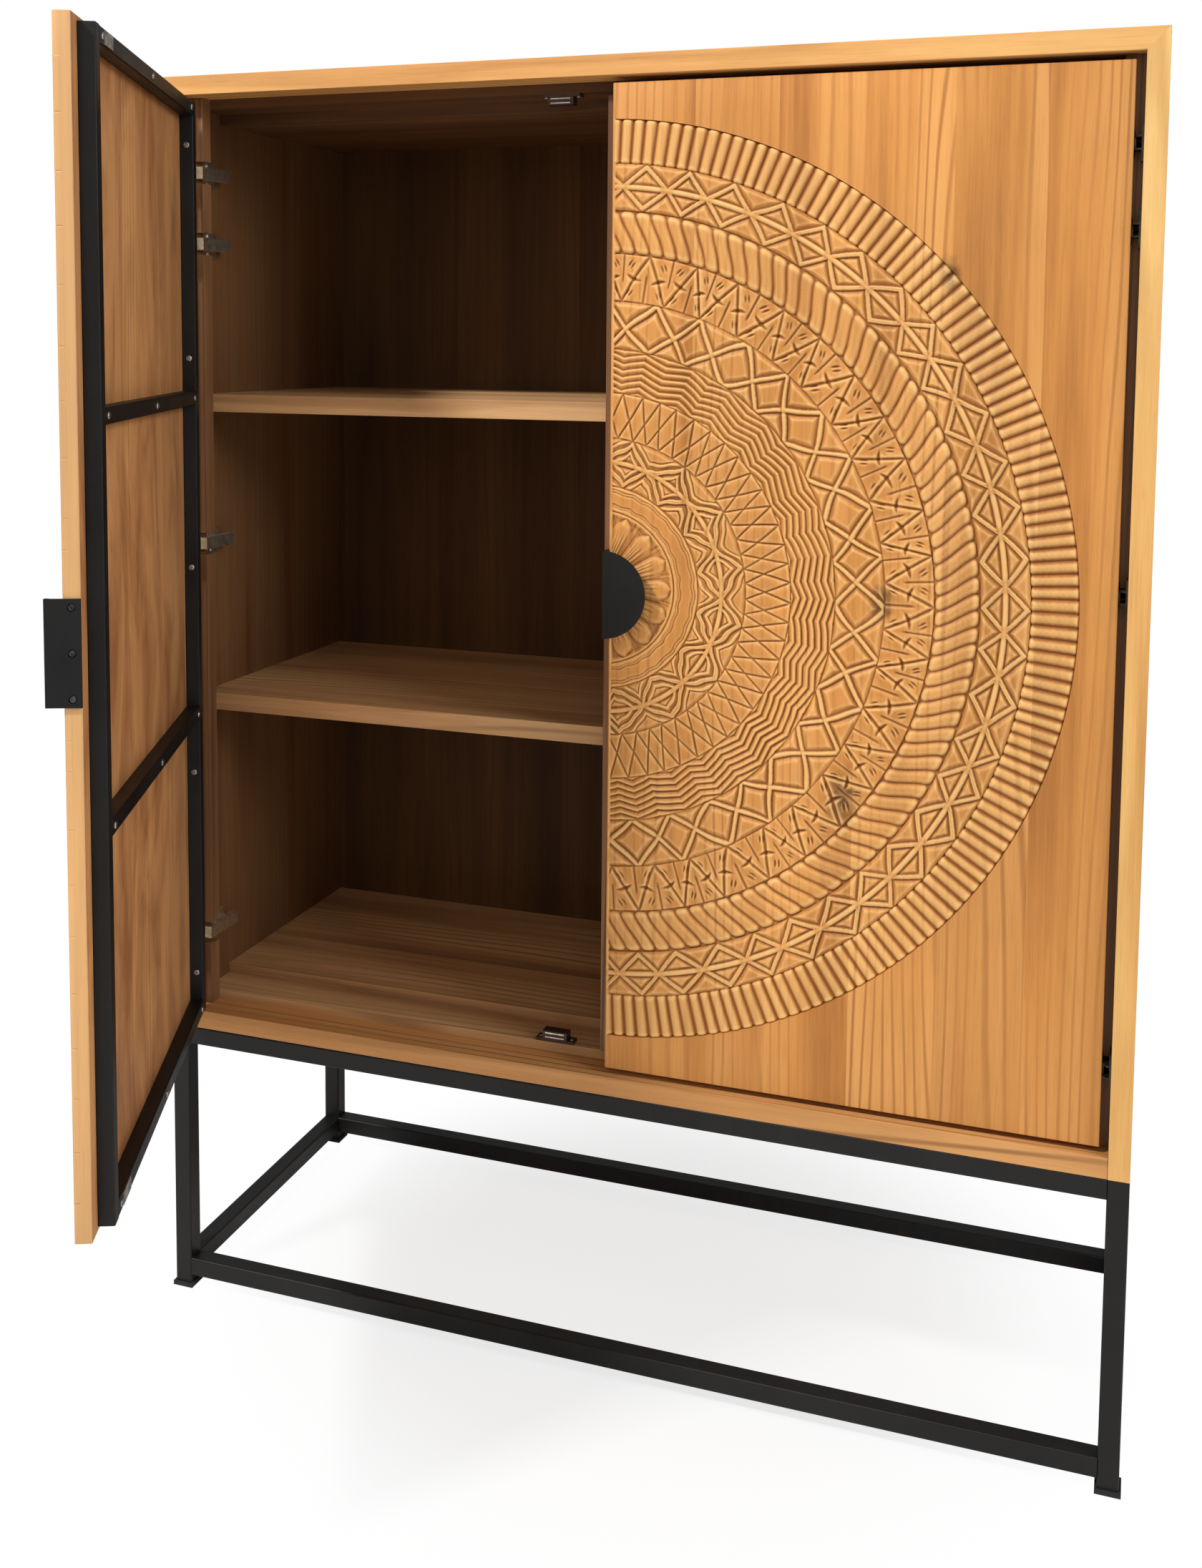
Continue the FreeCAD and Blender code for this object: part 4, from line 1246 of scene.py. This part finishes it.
@dataclass
class Studio:
    """The pale floor, the soft lamps, the white surroundings and the camera."""

    lens: float = 36.81
    eye: tuple[float, float, float] = (0.6214, -2.0943, 1.3357)
    tilt: tuple[float, float, float] = (85.363, -0.485, 18.767)
    drop: float = -0.2
    key_power: float = 205.0
    fill_power: float = 88.0
    front_power: float = 26.0
    sky: float = 0.29

    def build(self) -> None:
        """Build all of it."""
        self.floor()
        self.world()
        self.lamp("key", (-2.1, -2.9, 4.5), (0.0, 0.0, 0.95), 0.5, self.key_power)
        self.lamp("fill", (4.0, -1.6, 3.0), (-0.5, -0.4, 1.2), 1.6, self.fill_power)
        self.lamp("front", (0.9, -4.6, 3.0), (0.0, 0.0, 0.9), 2.4, self.front_power)
        self.camera()

    def floor(self) -> None:
        """Lay a wide pale floor."""
        deselect()
        bpy.ops.mesh.primitive_plane_add(size=60.0, location=(0.0, 0.0, -0.0005))
        floor = bpy.context.object
        bpy.ops.object.transform_apply(location=True, rotation=True, scale=True)
        floor.name = "floor"
        material, tree, shader = blank("pale_studio_floor")
        place = add(tree, "TexCoord").outputs["Object"]
        cloud = add(tree, "TexNoise", {"Vector": place, "Scale": 0.8, "Detail": 2.0})
        colour = add(tree, "ValToRGB", {0: cloud}, ((0.3, "#EDEDEC"), (0.7, "#F2F2F1")))
        feed(tree, shader, {"Base Color": colour, "Roughness": 0.9, "Specular IOR Level": 0.1})
        # The shadow under the stand stays, and further out the floor turns to the white of the backdrop
        path = add(tree, "LightPath")
        white = add(tree, "Emission", {"Color": WHITE, "Strength": 1.0})
        away = add(tree, "VectorMath", {0: place}, operation="LENGTH")
        share = add(tree, "MapRange", {0: away.outputs["Value"], 1: 0.3, 2: 0.7, 3: 0.76, 4: 1.0},
                    interpolation_type="SMOOTHSTEP")
        seen = add(tree, "MixShader", {0: share, 1: shader, 2: white})
        mixed = add(tree, "MixShader", {0: path.outputs["Is Camera Ray"], 1: shader, 2: seen})
        feed(tree, tree.nodes["Material Output"], {"Surface": mixed})
        floor.data.materials.append(material)

    def world(self) -> None:
        """Make the surroundings: an even soft light, seen as white."""
        world = bpy.data.worlds.new("studio")
        bpy.context.scene.world = world
        world.use_nodes = True
        tree = world.node_tree
        tree.nodes.clear()
        path = add(tree, "LightPath")
        light = add(tree, "Background", {"Color": WHITE, "Strength": self.sky})
        white = add(tree, "Background", {"Color": WHITE, "Strength": 1.0})
        mixed = add(tree, "MixShader", {0: path.outputs["Is Camera Ray"], 1: light, 2: white})
        add(tree, "OutputWorld", {0: mixed})

    def lamp(self, name: str, place: tuple[float, float, float], aim: tuple[float, float, float],
             size: float, power: float) -> None:
        """Hang one soft square lamp and aim it.

        Args:
            name: the lamp's name.
            place: where it hangs.
            aim: the point that it faces.
            size: the length of its side, in metres.
            power: its power in watts.
        """
        light = bpy.data.lights.new(name, "AREA")
        light.shape, light.size, light.energy = "SQUARE", size, power
        thing = bpy.data.objects.new(name, light)
        bpy.context.scene.collection.objects.link(thing)
        thing.location = place
        thing.rotation_euler = (Vector(aim) - Vector(place)).to_track_quat("-Z", "Y").to_euler()

    def camera(self) -> None:
        """Set up the camera where the photograph was taken from."""
        data = bpy.data.cameras.new("camera")
        data.lens, data.sensor_width = self.lens, 36.0
        data.shift_y = self.drop
        data.clip_start, data.clip_end = 0.05, 200.0
        thing = bpy.data.objects.new("camera", data)
        bpy.context.scene.collection.objects.link(thing)
        thing.location = self.eye
        thing.rotation_euler = Euler([math.radians(angle) for angle in self.tilt])
        bpy.context.scene.camera = thing
        bpy.context.scene.view_settings.view_transform = "Standard"


def door_places() -> tuple[DoorPlace, DoorPlace]:
    """Return the places of the left and the right door, from the record's joints."""
    joints = {joint["child"]: joint for joint in frame["joints"]}
    left, right = joints["left_door"], joints["right_door"]
    return (DoorPlace("left", 1.0, left["pos_m"][0], left["pos_m"][1], math.radians(left["range_deg"][0])),
            DoorPlace("right", -1.0, right["pos_m"][0], right["pos_m"][1], 0.0))


def meeting_edge(place: DoorPlace) -> float:
    """Return how far a door's meeting edge is from its hinge axis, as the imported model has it."""
    back = place.matrix().inverted()
    panel = frame["nodes"][f"{place.body}_panel"].data
    return max(abs((back @ vertex.co).x) for vertex in panel.vertices)


def carved_leaf(place: DoorPlace, wood: Material, carved: Material) -> CarvedLeaf:
    """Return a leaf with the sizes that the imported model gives.

    Args:
        place: the door's place.
        wood: the finish of its plain parts.
        carved: the finish of its carving.

    Returns:
        The leaf, not built yet.
    """
    low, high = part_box("right_door_panel")
    right = door_places()[1]
    bottom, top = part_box("bottom_board")[0].z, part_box("top_board")[1].z
    return CarvedLeaf(place, wood, carved, right.axis_x - high.x, meeting_edge(place),
                      low.y - right.axis_y, high.y - right.axis_y, low.z, high.z, (bottom + top) / 2)


def main() -> None:
    """Build the scene in order."""
    logging.basicConfig(level=logging.INFO, format="%(message)s")
    left, right = door_places()
    shop = Workshop(left)
    shop.dress()
    Studio().build()
    carved_leaf(right, shop.door, shop.carved).build()
    carved_leaf(left, shop.turned_door, shop.turned_carved).build()
    for place in (left, right):
        for screws, slot, metal, drive in (("frame_screws", "zinc", shop.zinc, Drive.CROSS),
                                           ("pull_screws", "black_iron", shop.black_steel, Drive.SOCKET)):
            ScrewHeads(f"{place.body}_{screws}", place.body, slot, metal, drive, place.matrix()).build()
    for screws, metal in (("hinge_mount_screws", shop.nickel), ("catch_screws", shop.zinc)):
        ScrewHeads(screws, "cabinet", "nickel", metal, Drive.CROSS, Matrix.Identity(4)).build()
    bpy.context.view_layer.update()


if __name__ == "__main__":
    main()
